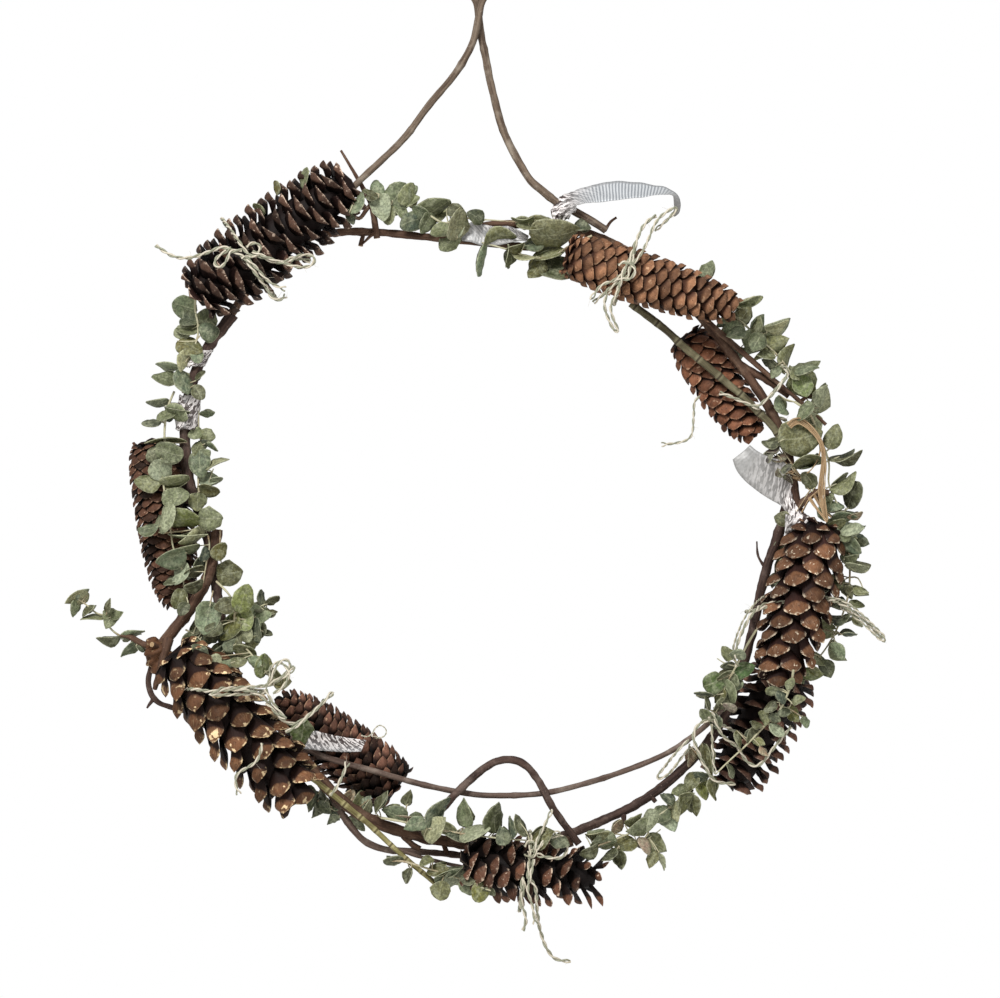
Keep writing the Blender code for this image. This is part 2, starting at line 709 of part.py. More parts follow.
def match_corners(facet, section):
    """Moves a facet's corners to a section's, keeping the turn that twists the sides least."""
    corners = [loop.vert for loop in facet.loops]
    orders = [
        order[turn:] + order[:turn]
        for order in (list(section), list(reversed(section))) for turn in range(4)]
    best = min(orders, key=lambda order: sum(
        (corner.co - place).length for corner, place in zip(corners, order)))
    for corner, place in zip(corners, best):
        corner.co = place


def add_sprigs(built):
    chance = random.Random(7)
    for name, side, length, width, points in SPRIGS:
        route = laid_route(points, side, built, LAY_STEP, SPRIG_RADIUS + SPRIG_ROOM, 0.0)
        face_out = Vector((0, -1 if side == "front" else 1, 0))
        made = sprig(name, length, width, route, face_out, built, chance)
        settle(made, side, built)
        built.add(made)


def settle(made, side, built):
    """Lets a flexible piece that follows the others down on them, or lifts it clear of them."""
    sign = -1 if side == "front" else 1
    corners, faces = triangles(made)

    def blocked(offset):
        return built.hit([corner + Vector((0, offset, 0)) for corner in corners], faces)

    offset = 0.0
    while blocked(offset):
        offset += CLEAR_STEP * sign
    while offset * sign > -SETTLE_LIMIT and not blocked(offset - SETTLE_STEP * sign):
        offset -= SETTLE_STEP * sign
    made.location.y += (offset + CLEAR_STEP * sign) * MM


# ---------------------------------------------------------------- ribbons

def ribbon(name, side, start_width, end_width, points, built):
    """A thin strip that lies over what is there."""
    route = laid_route(points, side, built, RIBBON_REACH, RIBBON_REACH, -RIBBON_REACH)
    shape = bmesh.new()
    rings = []
    for index, (place, along) in enumerate(zip(route, directions(route))):
        share = index / (len(route) - 1)
        half = (start_width + (end_width - start_width) * share) / 2
        across = along.cross(Vector((0, 1, 0))).normalized() * half
        thick = across.cross(along).normalized() * RIBBON_THICKNESS / 2
        rings.append([shape.verts.new(place + corner) for corner in (
            across + thick, across - thick, -across - thick, -across + thick)])
    for low, high in zip(rings, rings[1:]):
        for corner in range(4):
            after = (corner + 1) % 4
            shape.faces.new((low[corner], low[after], high[after], high[corner]))
    shape.faces.new(list(reversed(rings[0])))
    shape.faces.new(rings[-1])
    return close(name, shape, "ribbon")


def add_ribbons(built):
    for name, side, start_width, end_width, points in RIBBONS:
        made = ribbon(name, side, start_width, end_width, points, built)
        settle(made, side, built)
        built.add(made)


def hang_from_hook(depth):
    """Puts the hanger's loop at the origin, by a parent at the ring's middle."""
    middle = bpy.data.objects.new("ring_middle", None)
    bpy.context.scene.collection.objects.link(middle)
    middle.location = (-HOOK[0] * MM, -depth, -HOOK[1] * MM)
    for made in list(bpy.data.objects):
        if made is not middle:
            made.parent = middle


def main():
    clear_scene()
    built = Built()
    add_stems(STEMS, built)
    add_pinecones(built)
    add_stems(LATE_STEMS, built)
    add_ties(built)
    add_bands(built)
    add_ribbons(built)
    add_sprigs(built)
    hang_from_hook(bpy.data.objects["hanger_stem"].location.y)


main()
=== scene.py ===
"""The looks of the hanging pinecone wreath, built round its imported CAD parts.

Every table is in millimetres about the middle of the ring: X to the right, Y to the back and
Z up. The depth of each piece comes from its CAD node. Text in a table holds rows of numbers,
with commas between the rows.
"""

import math
import random

import bpy
import numpy as np
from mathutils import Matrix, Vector, noise
from mathutils.bvhtree import BVHTree


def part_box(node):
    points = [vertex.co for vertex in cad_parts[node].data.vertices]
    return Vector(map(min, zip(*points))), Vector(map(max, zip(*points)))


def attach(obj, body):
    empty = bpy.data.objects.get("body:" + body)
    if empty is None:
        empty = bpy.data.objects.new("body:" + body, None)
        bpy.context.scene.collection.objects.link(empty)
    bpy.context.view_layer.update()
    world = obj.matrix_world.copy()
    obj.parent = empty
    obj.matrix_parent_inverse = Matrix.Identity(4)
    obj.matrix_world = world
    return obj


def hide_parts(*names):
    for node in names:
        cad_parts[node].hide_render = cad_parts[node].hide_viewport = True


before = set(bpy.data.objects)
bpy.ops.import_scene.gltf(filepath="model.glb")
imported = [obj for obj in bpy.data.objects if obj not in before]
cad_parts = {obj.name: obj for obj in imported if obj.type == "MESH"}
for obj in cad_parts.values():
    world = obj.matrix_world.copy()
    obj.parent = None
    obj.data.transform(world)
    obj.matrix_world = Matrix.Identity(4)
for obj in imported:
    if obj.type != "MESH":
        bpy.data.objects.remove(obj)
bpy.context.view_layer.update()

MM = 0.001
TAU = 2 * math.pi
# The frame's origin, in the hanger's eye, as x and z about the ring's middle
HOOK = (-11.2, 382.8)
FRONT = Vector((0, -1, 0))


def middle(node):
    low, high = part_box(node)
    return (Vector(low) + Vector(high)) / 2


RING = Vector((-HOOK[0] * MM, middle("ring_stem_left").y, -HOOK[1] * MM))


def depth_of(node):
    """The y of a node's middle, in millimetres about the ring's middle."""
    return (middle(node).y - RING.y) / MM


def table(text):
    """Rows of numbers from text."""
    return [tuple(float(number) for number in row.split()) for row in text.split(",")]


def route_in(text):
    """Points as x, y and z from rows of x, z and, where it isn't 0, y."""
    return [(x, *(y or (0.0,)), z) for x, z, *y in table(text)]


# ---------------------------------------------------------------- pieces

class Piece:
    """Corners, faces and a four-number mark at each corner, gathered into one mesh."""

    def __init__(self):
        self.points = []
        self.faces = []
        self.marks = []
        self.count = 0

    def add(self, points, faces, marks):
        self.points.append(np.asarray(points, float))
        self.faces.extend([tuple(corner + self.count for corner in face) for face in faces])
        self.marks.append(np.asarray(marks, float))
        self.count += len(points)

    def build(self, name, coat, slot, *nodes):
        """The finished object, which rides on the wreath and stands for some CAD nodes."""
        mesh = bpy.data.meshes.new(name)
        points = np.concatenate(self.points) * MM + np.array(RING)
        mesh.from_pydata(points.tolist(), [], self.faces)
        mark = mesh.attributes.new("mark", "FLOAT_COLOR", "POINT")
        mark.data.foreach_set("color", np.concatenate(self.marks).astype(np.float32).ravel())
        mesh.polygons.foreach_set("use_smooth", [True] * len(mesh.polygons))
        mesh.materials.append(coat)
        made = bpy.data.objects.new(name, mesh)
        bpy.context.scene.collection.objects.link(made)
        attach(made, "root")
        if nodes:
            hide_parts(*nodes)
        return made


def grid_faces(rows, columns, closed=False, start=0, flip=False):
    """Quads of a grid of corners; closed joins the last column to the first."""
    faces = []
    for row in range(rows - 1):
        for column in range(columns if closed else columns - 1):
            after = (column + 1) % columns
            face = (row * columns + column, row * columns + after,
                    (row + 1) * columns + after, (row + 1) * columns + column)
            faces.append(tuple(start + corner for corner in (face[::-1] if flip else face)))
    return faces


def plate_faces(rows, columns):
    """Faces of a thin closed plate: an upper grid, a lower grid after it, and the rim."""
    size = rows * columns
    faces = grid_faces(rows, columns) + grid_faces(rows, columns, start=size, flip=True)
    rim = list(range(columns))
    rim += [row * columns + columns - 1 for row in range(1, rows)]
    rim += [size - 1 - column for column in range(1, columns)]
    rim += [row * columns for row in range(rows - 2, 0, -1)]
    for one, other in zip(rim, rim[1:] + rim[:1]):
        faces.append((other, one, one + size, other + size))
    return faces


# ---------------------------------------------------------------- coats

def paint(red, green, blue):
    """A colour given as it looks on a screen, from 0 to 255, as linear values."""
    return (*(((part / 255 + 0.055) / 1.055) ** 2.4 if part > 10 else part / 3295
              for part in (red, green, blue)), 1.0)


class Wire:
    """An output of a coat's node, for sums."""

    def __init__(self, coat, socket):
        self.coat = coat
        self.socket = socket

    def __add__(self, other):
        return self.coat.math("ADD", self, other)

    def __sub__(self, other):
        return self.coat.math("SUBTRACT", self, other)

    def __rsub__(self, other):
        return self.coat.math("SUBTRACT", other, self)

    def __mul__(self, other):
        return self.coat.math("MULTIPLY", self, other)

    def __pow__(self, other):
        return self.coat.math("POWER", self, other)

    def __mod__(self, other):
        return self.coat.math("MODULO", self, other)

    def __abs__(self):
        return self.coat.math("ABSOLUTE", self)


class Coat:
    """A node material, written as sums of wires; its colours go from 0 to 255."""

    def __init__(self, name, roughness, shine=0.5, metal=0.0):
        self.material = bpy.data.materials.new(name)
        self.material.use_nodes = True
        self.tree = self.material.node_tree
        self.shader = self.tree.nodes["Principled BSDF"].inputs
        self.shader["Roughness"].default_value = roughness
        self.shader["Specular IOR Level"].default_value = shine
        self.shader["Metallic"].default_value = metal

    def put(self, socket, value):
        """Feeds a socket from a wire, a colour or a number."""
        if isinstance(value, Wire):
            self.tree.links.new(value.socket, socket)
        else:
            socket.default_value = paint(*value) if isinstance(value, tuple) else value

    def node(self, kind, inputs, output=0, **settings):
        """One output of a new node."""
        made = self.tree.nodes.new("ShaderNode" + kind)
        for key, value in settings.items():
            setattr(made, key, value)
        for socket, value in inputs.items():
            self.put(made.inputs[socket], value)
        return Wire(self, made.outputs[output])

    def mark(self):
        """The corners' mark: its first three numbers as a colour, and the fourth."""
        colour = self.node("Attribute", {}, "Color", attribute_name="mark")
        return colour, Wire(self, colour.socket.node.outputs["Alpha"])

    def marks(self):
        """The four numbers of the corners' mark."""
        colour, fourth = self.mark()
        split = self.node("SeparateColor", {"Color": colour}).socket.node
        return (*(Wire(self, output) for output in split.outputs), fourth)

    def math(self, operation, *values, clamp=False):
        return self.node("Math", dict(enumerate(values)), operation=operation, use_clamp=clamp)

    def place(self):
        return self.node("TexCoord", {}, "Object")

    def noise(self, scale, detail=4.0, roughness=0.55, where=None):
        return self.node("TexNoise", {
            "Vector": where or self.place(), "Scale": scale, "Detail": detail,
            "Roughness": roughness}, "Fac")

    def streaks(self, x, y, z, scale=1.0, detail=5.0, roughness=0.7):
        """Noise at a place of its own, which stretches it."""
        where = self.node("CombineXYZ", {"X": x, "Y": y, "Z": z})
        return self.noise(scale, detail, roughness, where)

    def dots(self, scale, low, high):
        """Scattered round dots: 1 on a dot and 0 off it."""
        far = self.node("TexVoronoi", {"Vector": self.place(), "Scale": scale}, "Distance")
        return 1.0 - self.step(far, low, high)

    def step(self, value, low, high):
        """A smooth change from 0 at low to 1 at high."""
        return self.node("MapRange", {"Value": value, "From Min": low, "From Max": high},
                         interpolation_type="SMOOTHSTEP")

    def mix(self, share, one, other, blend="MIX"):
        return self.node("Mix", {0: share, 6: one, 7: other}, 2,
                         data_type="RGBA", blend_type=blend)

    def shade(self, colour, grey):
        return self.mix(1.0, colour, self.node("CombineColor", {0: grey, 1: grey, 2: grey}),
                        "MULTIPLY")

    def finish(self, colour, height=None, distance=0.0, strength=0.0, roughness=None):
        self.put(self.shader["Base Color"], colour)
        if height:
            self.put(self.shader["Normal"], self.node("Bump", {
                "Height": height, "Strength": strength, "Distance": distance}))
        if roughness:
            self.put(self.shader["Roughness"], roughness)
        return self.material


# ---------------------------------------------------------------- pinecones

# name, stalk end x and z, tip end x and z, diameter, width of the stalk end and of the tip end as
# shares, kind, number of scales, width of a scale, turn of the first scale, angle from one scale
# to the next, coat
CONES = (
    ("pinecone_lower_left", (-213, -75), (-126, -174), 57, 0.60, 0.66, "pine", 74, 17.0, 60,
     137.5, "gold"),
    ("pinecone_upper_left", (-198, 155), (-94, 233), 60, 0.55, 0.60, "open", 108, 19.0, 0,
     137.5, "dark"),
    ("pinecone_right", (213, 10), (184, -101), 53, 0.50, 0.30, "pine", 72, 17.0, 324,
     99.5, "warm"),
    ("pinecone_upper_right", (44, 185), (158, 148), 39, 0.82, 0.36, "spruce", 156, 13.4, 0,
     137.5, "tan"),
    ("pinecone_bottom", (-22, -215), (70, -224), 48, 0.50, 0.55, "ragged", 72, 14.5, 20,
     137.5, "brown"),
    ("pinecone_inner_right", (125, 134), (171, 65), 38, 0.74, 0.30, "flat", 92, 14.0, 40,
     137.5, "red"),
    ("pinecone_lower_right", (194, -90), (153, -168), 60, 0.90, 0.62, "open", 74, 15.5, 0,
     137.5, "cocoa"),
    ("pinecone_inner_left", (-65.5, -169), (-147, -110), 45, 0.84, 0.30, "thorny", 225, 9.4, 0,
     137.5, "wine"),
    ("pinecone_left", (-228, 64), (-211, -48), 43, 0.70, 0.34, "fine", 250, 11.0, 0,
     137.5, "rust"),
)
# The colours of a scale's shaft, darkened as painted shade where it shows between scales,
# of its face, of its dark mottles and specks and painted shade, and of its resin with a
# painted glint; where its face starts, strength of the resin and its painted glint, how much
# scales differ, size and level of the resin drops, then how far the painted shade at the
# face's root reaches and how dark it is
CONE_COATS = {
    "warm": ((60, 35, 29), (122, 84, 58), (44, 25, 20), (236, 216, 188), 0.56, 1.0, 0.9),
    "gold": ((44, 27, 22), (114, 77, 52), (38, 22, 17), (240, 212, 166), 0.58, 0.85, 0.9,
             190.0, 0.61),
    "brown": ((34, 22, 19), (96, 62, 45), (24, 15, 12), (214, 190, 166), 0.60, 0.8, 1.5),
    "tan": ((84, 53, 38), (150, 107, 78), (60, 36, 26), (214, 176, 140), 0.52, 0.4, 0.9,
            300.0, 0.66, 0.30, 0.8),
    "red": ((56, 33, 27), (132, 86, 62), (44, 25, 20), (200, 160, 130), 0.50, 0.8, 0.9),
    "rust": ((36, 22, 18), (86, 57, 42), (26, 16, 13), (180, 144, 118), 0.48, 0.6, 1.5),
    "wine": ((34, 21, 19), (112, 77, 62), (22, 13, 11), (190, 152, 122), 0.48, 0.5, 1.8,
             260.0, 0.66, 0.30, 0.95),
    "cocoa": ((54, 36, 30), (108, 75, 60), (34, 21, 18), (180, 154, 134), 0.56, 0.5, 1.0),
    "dark": ((48, 30, 26), (88, 63, 50), (30, 18, 15), (196, 172, 152), 0.60, 1.0, 1.2),
}


def scale_coat(name, shaft_and_shade, face, mottle_and_shade, resin_glint, border, resin_glint_strength, vary, drop_scale=300.0,
               drop_level=0.66, reach=0.10, depth=0.5):
    """Cone scales. Mark: along 0 to 1, across 0 to 1, the scale's own tone, outer side 1."""
    coat = Coat("cone_" + name, 0.55, 0.18)
    along, across, tone, outer = coat.marks()
    grain = coat.noise(900.0, 3.0)
    blotch = coat.noise(260.0, 5.0, 0.6)
    side = abs(across * 2.0 - 1.0)
    past = along - (blotch * 0.05 + (side ** 2.5 * 0.14 + (border - 0.075)))
    exposed = coat.step(past, -0.015, 0.03) * outer
    streak = coat.streaks(across * 0.5, along * 0.06, tone * 7.0, 60.0, 4.0, 0.6)
    light = coat.mix(coat.step(blotch, 0.3, 0.72), face, mottle_and_shade)
    light = coat.mix(0.5, light, face)
    light = coat.mix(coat.step(streak, 0.5, 0.8) * 0.22, light, resin_glint)
    # Painted shade: each face darkens towards its root, where the scale before it shades it
    light = coat.mix(coat.step(past, reach, 0.0) * depth, light, mottle_and_shade)
    # Painted shade: the shaft, where it shows between faces, is darkened towards the dark colour
    dark = coat.mix(coat.step(streak, 0.35, 0.7), mottle_and_shade, shaft_and_shade)
    colour = coat.mix(exposed, dark, light)
    colour = coat.mix(coat.dots(330.0, 0.10, 0.22) * exposed * 0.6, colour, mottle_and_shade)
    # Painted glints: pale flecks along the sides and the tip of each face
    edge = coat.math("MAXIMUM", coat.step(side, 0.80, 0.97), coat.step(along, 0.91, 0.98))
    flecks = coat.step(coat.noise(360.0, 4.0, 0.65), 0.46, 0.58)
    rim_glint = edge * coat.step(along, 0.5, 0.7) * flecks
    # Drops of resin on the faces, painted pale as glints
    resin_glint_drops = coat.step(coat.noise(drop_scale, 2.0, 0.5), drop_level, drop_level + 0.04)
    resin_glint_drops = resin_glint_drops * coat.step(along, 0.55, 0.72)
    resin_and_glint = coat.math("MULTIPLY", coat.math("MAXIMUM", rim_glint, resin_glint_drops), resin_glint_strength, clamp=True)
    colour = coat.mix(resin_and_glint, colour, resin_glint)
    # Each scale's own tone, times painted shade that darkens a scale towards its foot
    grey = (tone * vary + (0.97 - vary / 2)) * coat.step(along, -0.12, 0.62)
    colour = coat.shade(colour, grey * (grain * 0.5 + 0.75))
    height = grain * 0.5 + streak * 0.8 + resin_and_glint * 0.8
    return coat.finish(colour, height, 0.0005, 0.7, resin_and_glint * -0.3 + 0.62)


# share along a scale, its half-width, its lower bulge and its upper thickness, as shares of its
# width; then the curl of its middle line towards the cone's tip, as a share of its length
OUTLINES = {
    "pine": """0 0.28 0.12 0.05 0, 0.2 0.34 0.14 0.06 0.004, 0.4 0.42 0.17 0.07 0.016,
        0.54 0.47 0.2 0.08 0.03, 0.64 0.5 0.24 0.08 0.036, 0.73 0.46 0.27 0.07 0.036,
        0.81 0.36 0.25 0.05 0.03, 0.89 0.23 0.18 0.04 0.02, 0.95 0.11 0.09 0.03 0,
        1 0.02 0.02 0.01 -0.02""",
    "ragged": """0 0.28 0.06 0.03 0, 0.2 0.34 0.07 0.03 0, 0.4 0.42 0.1 0.04 0.008,
        0.54 0.48 0.14 0.05 0.012, 0.64 0.5 0.2 0.06 0.012, 0.73 0.45 0.24 0.06 0.004,
        0.81 0.36 0.22 0.05 -0.01, 0.89 0.24 0.17 0.04 -0.03, 0.95 0.13 0.1 0.03 -0.05,
        1 0.03 0.03 0.01 -0.075""",
    "open": """0 0.34 0.05 0.03 0, 0.2 0.42 0.06 0.03 0, 0.4 0.48 0.08 0.03 0.002,
        0.54 0.5 0.11 0.04 0.004, 0.62 0.48 0.16 0.04 0.004, 0.7 0.41 0.2 0.04 0,
        0.79 0.3 0.19 0.03 -0.008, 0.88 0.19 0.14 0.025 -0.018, 0.95 0.09 0.08 0.02 -0.03,
        1 0.02 0.02 0.01 -0.04""",
    "spruce": """0 0.22 0.05 0.03 0, 0.25 0.3 0.06 0.03 0.01, 0.45 0.42 0.08 0.03 0.03,
        0.58 0.49 0.13 0.03 0.045, 0.68 0.5 0.2 0.04 0.05, 0.77 0.43 0.21 0.04 0.05,
        0.85 0.31 0.16 0.03 0.045, 0.92 0.18 0.09 0.02 0.04, 0.97 0.08 0.04 0.02 0.035,
        1 0.02 0.01 0.01 0.03""",
    "flat": """0 0.24 0.05 0.03 0, 0.25 0.36 0.06 0.03 0, 0.45 0.46 0.08 0.03 0,
        0.58 0.5 0.11 0.03 0, 0.68 0.5 0.15 0.03 0, 0.78 0.42 0.16 0.03 -0.002,
        0.87 0.28 0.12 0.03 -0.004, 0.94 0.15 0.07 0.02 -0.008, 0.98 0.07 0.04 0.02 -0.012,
        1 0.02 0.01 0.01 -0.016""",
    "thorny": """0 0.3 0.08 0.05 0, 0.25 0.38 0.1 0.06 0, 0.45 0.46 0.16 0.07 0.004,
        0.58 0.5 0.22 0.08 0.006, 0.68 0.48 0.24 0.08 0.008, 0.77 0.41 0.21 0.07 0.01,
        0.85 0.3 0.15 0.05 0.012, 0.92 0.17 0.09 0.03 0.014, 0.97 0.08 0.04 0.02 0.016,
        1 0.02 0.01 0.01 0.018""",
}
# outline, core's share of the radius, share of it where the scales face outward, drop of a
# scale's foot towards the stalk as a share of the radius, cup of its sides, scatter, how much
# closer the scales crowd at the stalk, and their size there
KINDS = {
    "pine": ("pine", 0.50, 0.84, 0.60, 0.22, 1.5, 1.1, 0.65),
    "ragged": ("ragged", 0.44, 0.84, 0.42, 0.20, 2.8, 1.2, 1.1),
    "open": ("open", 0.50, 0.86, 0.22, 0.42, 1.6, 1.0, 0.8),
    "spruce": ("spruce", 0.62, 0.90, 0.58, 0.34, 0.9, 1.25, 0.5),
    "flat": ("flat", 0.60, 0.90, 0.62, 0.22, 0.6, 1.1, 0.6),
    "thorny": ("thorny", 0.58, 0.90, 0.40, 0.25, 0.8, 1.05, 0.7),
    "fine": ("flat", 0.66, 0.90, 0.44, 0.20, 1.2, 1.0, 0.8),
}
# Where the corners of a scale's grid lie across it, in half-widths
ACROSS = (-1.0, -0.8, -0.45, 0.0, 0.45, 0.8, 1.0)
# Where a cone is widest, as a share of its length, and where its first and last scales stand
WIDEST = 0.4
FIRST_FOOT = 0.03
LAST_FOOT = 0.93
# A scale's outline turns outward at this share of its length
BEND = 0.80
# How far the scales lean sideways, as a share of the cone's radius
LEANS = {
    "pinecone_inner_left": 0.46, "pinecone_lower_left": 0.24, "pinecone_right": -0.24,
    "pinecone_upper_right": 0.07, "pinecone_inner_right": 0.24, "pinecone_bottom": 0.30,
}
# Where the slender scales of a kind's tip start, and their width and length there
SLENDER_TIPS = {"ragged": (0.86, 0.45, 1.3)}
CORE_ROWS = 18
CORE_SIDES = 14
# How the core's ends and its middle part are sized, then its start and length as shares of
# the cone's length
CORE_END = 0.86
CORE_SWELL = 1.02
CORE_START = 0.01
CORE_LENGTH = 0.93


class Cone:
    """The measures of a cone, about its middle line from the stalk to the tip."""

    def __init__(self, name, stalk, tip, diameter, stalk_end, tip_end, kind):
        self.stalk = Vector((stalk[0], depth_of(name), stalk[1]))
        line = Vector((tip[0], self.stalk.y, tip[1])) - self.stalk
        self.length = line.length
        self.axis = line.normalized()
        self.aside = Vector((-self.axis.z, 0, self.axis.x))
        self.radius = diameter / 2
        self.stalk_end = stalk_end
        self.tip_end = tip_end
        self.lean = LEANS.get(name, 0.0) * self.radius
        self.core, self.face, self.drop = KINDS[kind][1:4]

    def swell(self, share):
        """The outline's radius as a share of the greatest, from the stalk at 0 to the tip at 1."""
        if share < WIDEST:
            fall, end = (WIDEST - share) / WIDEST, self.stalk_end
        else:
            fall, end = (share - WIDEST) / (1 - WIDEST), self.tip_end
        return end + (1 - end) * math.sqrt(max(1 - fall ** 2.2, 0.0))

    def outward(self, angle):
        return FRONT * math.cos(angle) + self.aside * math.sin(angle)

    def scale_line(self, share, out):
        """Where a scale's foot stands on the core, and the way from there to its bend."""
        size = self.swell(share)
        level = share * self.length
        around = self.axis.cross(out) * self.lean
        low = level - self.drop * self.radius * (1 - 0.35 * share)
        low = min(max(low, FIRST_FOOT * self.length), LAST_FOOT * self.length)
        foot = self.stalk + self.axis * low + out * self.core * self.radius * min(
            size, self.swell(low / self.length))
        foot -= around * self.core * size
        line = self.stalk + self.axis * level + out * self.radius * size * self.face - foot
        return foot, line + around * (1 - self.core) * size

    def add_core(self, piece):
        """The turned middle, wide enough at both ends to hold the last scales."""
        points, marks = [], []
        for row in range(CORE_ROWS):
            share = row / (CORE_ROWS - 1)
            size = self.core * self.radius * self.swell(share)
            size *= CORE_SWELL if 0 < row < CORE_ROWS - 1 else CORE_END
            level = share * self.length * CORE_LENGTH + CORE_START * self.length
            for column in range(CORE_SIDES):
                out = self.outward(TAU * column / CORE_SIDES)
                points.append(self.stalk + self.axis * level + size * out)
                # Painted shade: the core takes the shaft's shaded colour, darkened as near a scale's
                # foot
                marks.append((0.28, column / CORE_SIDES, 0.45, 0.0))
        faces = grid_faces(CORE_ROWS, CORE_SIDES, closed=True)
        faces.append(tuple(range(CORE_SIDES))[::-1])
        faces.append(tuple(range((CORE_ROWS - 1) * CORE_SIDES, CORE_ROWS * CORE_SIDES)))
        piece.add(points, faces, marks)


def scale_grid(outline, length, width, cup, tone):
    """A scale's corners as along, across and towards the cone's tip, with its marks."""
    upper, lower, upper_marks, lower_marks = [], [], [], []
    for share, half, low, high, curl in outline:
        for across in ACROSS:
            fall = 1 - abs(across) ** 2.2
            ridge = 1 - 0.75 * abs(across) - 0.25 * across * across
            rise = curl * length + cup * (across * half) ** 2 * width
            flat = (share * length, across * half * width)
            upper.append((*flat, rise + high * width * fall))
            lower.append((*flat, rise - low * width * ridge - 0.004 * width))
            upper_marks.append((share, 0.5 + across / 2, tone, 0.0))
            lower_marks.append((share, 0.5 + across / 2, tone, 1.0))
    return np.array(upper + lower), upper_marks + lower_marks


def scale_axes(cone, along, out, scatter, chance):
    """The directions of a scale's length, width and inner side, with a little twist and tilt."""
    up = along.cross(cone.axis.cross(out))
    if up.dot(cone.axis) < 0:
        up = -up
    side = along.cross(up)
    twist = chance.gauss(0, 0.10) * scatter
    along = along + up * chance.gauss(0, 0.05) * scatter
    up = (up * math.cos(twist) - side * math.sin(twist)).normalized()
    along = (along - up * along.dot(up)).normalized()
    return along, along.cross(up), up


def add_cone(name, *measures, count, width, first, apart, coat):
    """A cone: scales in a spiral, each with its foot on the core and its tip on the outline."""
    chance = random.Random(name)
    cone = Cone(name, *measures)
    kind = measures[-1]
    shape, _, _, _, cup, scatter, crowd, least = KINDS[kind]
    outline = table(OUTLINES[shape])
    faces = plate_faces(len(outline), len(ACROSS))
    slender, thin, reach = SLENDER_TIPS.get(kind, (2.0, 1.0, 1.0))
    piece = Piece()
    for index in range(count):
        share = ((index + 0.5) / count) ** crowd
        out = cone.outward(math.radians(first + apart * index) + chance.gauss(0, 0.05) * scatter)
        foot, along = cone.scale_line(share, out)
        small = least + (1 - least) * min(share / 0.2, 1.0)
        long = along.length / BEND * chance.uniform(0.96, 1.05) * (0.5 + small / 2)
        wide = width * min(1.0, 0.45 + 0.7 * cone.swell(share)) * small
        wide *= chance.uniform(0.92, 1.08)
        if share > slender:
            wide, long = wide * thin, long * reach
        axes = scale_axes(cone, along.normalized(), out, scatter, chance)
        grid, marks = scale_grid(outline, long, wide, cup, chance.random())
        piece.add(grid @ np.array(axes) + np.array(foot - out), faces, marks)
    cone.add_core(piece)
    if name == "pinecone_lower_left":
        add_knob(piece)
    piece.build(name + "_scales", coat, "scale", name)


def add_cones():
    coats = {name: scale_coat(name, *looks) for name, looks in CONE_COATS.items()}
    for *measures, count, width, first, apart, coat in CONES:
        add_cone(*measures, count=count, width=width, first=first, apart=apart,
                 coat=coats[coat])


# ---------------------------------------------------------------- routes

FINE_PARTS = 12
LUMP_SCALE = 0.22


def curve_point(points, index, share):
    """A point on the Catmull-Rom curve through points, share of the way from one to the next."""
    last = len(points) - 1
    a, b, c, d = (points[min(max(index + step, 0), last)] for step in (-1, 0, 1, 2))
    return 0.5 * (
        2 * b + (c - a) * share + (2 * a - 5 * b + 4 * c - d) * share ** 2
        + (3 * b - a - 3 * c + d) * share ** 3)


def smooth_route(points, step):
    """Points about a step apart on the smooth curve through the given ones."""
    points = [Vector(point) for point in points]
    fine = [
        curve_point(points, index, part / FINE_PARTS)
        for index in range(len(points) - 1) for part in range(FINE_PARTS)]
    fine.append(points[-1])
    lengths = [0.0]
    for one, other in zip(fine, fine[1:]):
        lengths.append(lengths[-1] + (other - one).length)
    count = max(2, round(lengths[-1] / step) + 1)
    route = []
    spot = 0
    for index in range(count):
        wanted = lengths[-1] * index / (count - 1)
        while spot < len(fine) - 2 and lengths[spot + 1] < wanted:
            spot += 1
        span = lengths[spot + 1] - lengths[spot]
        share = (wanted - lengths[spot]) / span if span else 0.0
        route.append(fine[spot].lerp(fine[spot + 1], min(share, 1.0)))
    return route


def route_length(route):
    return sum((other - one).length for one, other in zip(route, route[1:]))


def frames(route):
    """Along, right and front at each point of a route, without needless twist."""
    last = len(route) - 1
    found = []
    right = None
    for index in range(last + 1):
        along = (route[min(index + 1, last)] - route[max(index - 1, 0)]).normalized()
        if right is None:
            right = along.cross(Vector((0, 1, 0) if abs(along.y) < 0.8 else (1, 0, 0)))
        right = (right - along * right.dot(along)).normalized()
        found.append((along, right, right.cross(along)))
    return found


def add_tube(piece, route, radius_at, sides, tone, lumps=0.0, cap=1.0):
    """A tube along a route. Mark: length in mm / 1000, share round, tone, cut end."""
    points, marks = [], []
    far = 0.0
    last = len(route) - 1
    for index, (place, (_, right, front)) in enumerate(zip(route, frames(route))):
        if index:
            far += (place - route[index - 1]).length
        radius = radius_at(index / last, far)
        for side in range(sides):
            angle = TAU * side / sides
            out = right * math.cos(angle) + front * math.sin(angle)
            size = radius
            if lumps:
                spot = (place + out * radius) * LUMP_SCALE + Vector((tone, 0, 0))
                size *= 1 + lumps * noise.noise(spot)
            points.append(place + out * size)
            marks.append((far / 1000, side / sides, tone, 0.0))
    faces = grid_faces(last + 1, sides, closed=True, flip=True)
    for end in (0, last):
        base = len(points)
        points += points[end * sides:(end + 1) * sides] + [route[end]]
        marks += [(0.0, side / sides, tone, cap) for side in range(sides)]
        marks.append((0.0, 0.0, tone, cap))
        for side in range(sides):
            one, other = base + side, base + (side + 1) % sides
            faces.append((other, one, base + sides) if end else (one, other, base + sides))
    piece.add(points, faces, marks)


# ---------------------------------------------------------------- CAD nodes to lie on

# Farther out than any node
OUTSIDE = 300
PROBES = 8


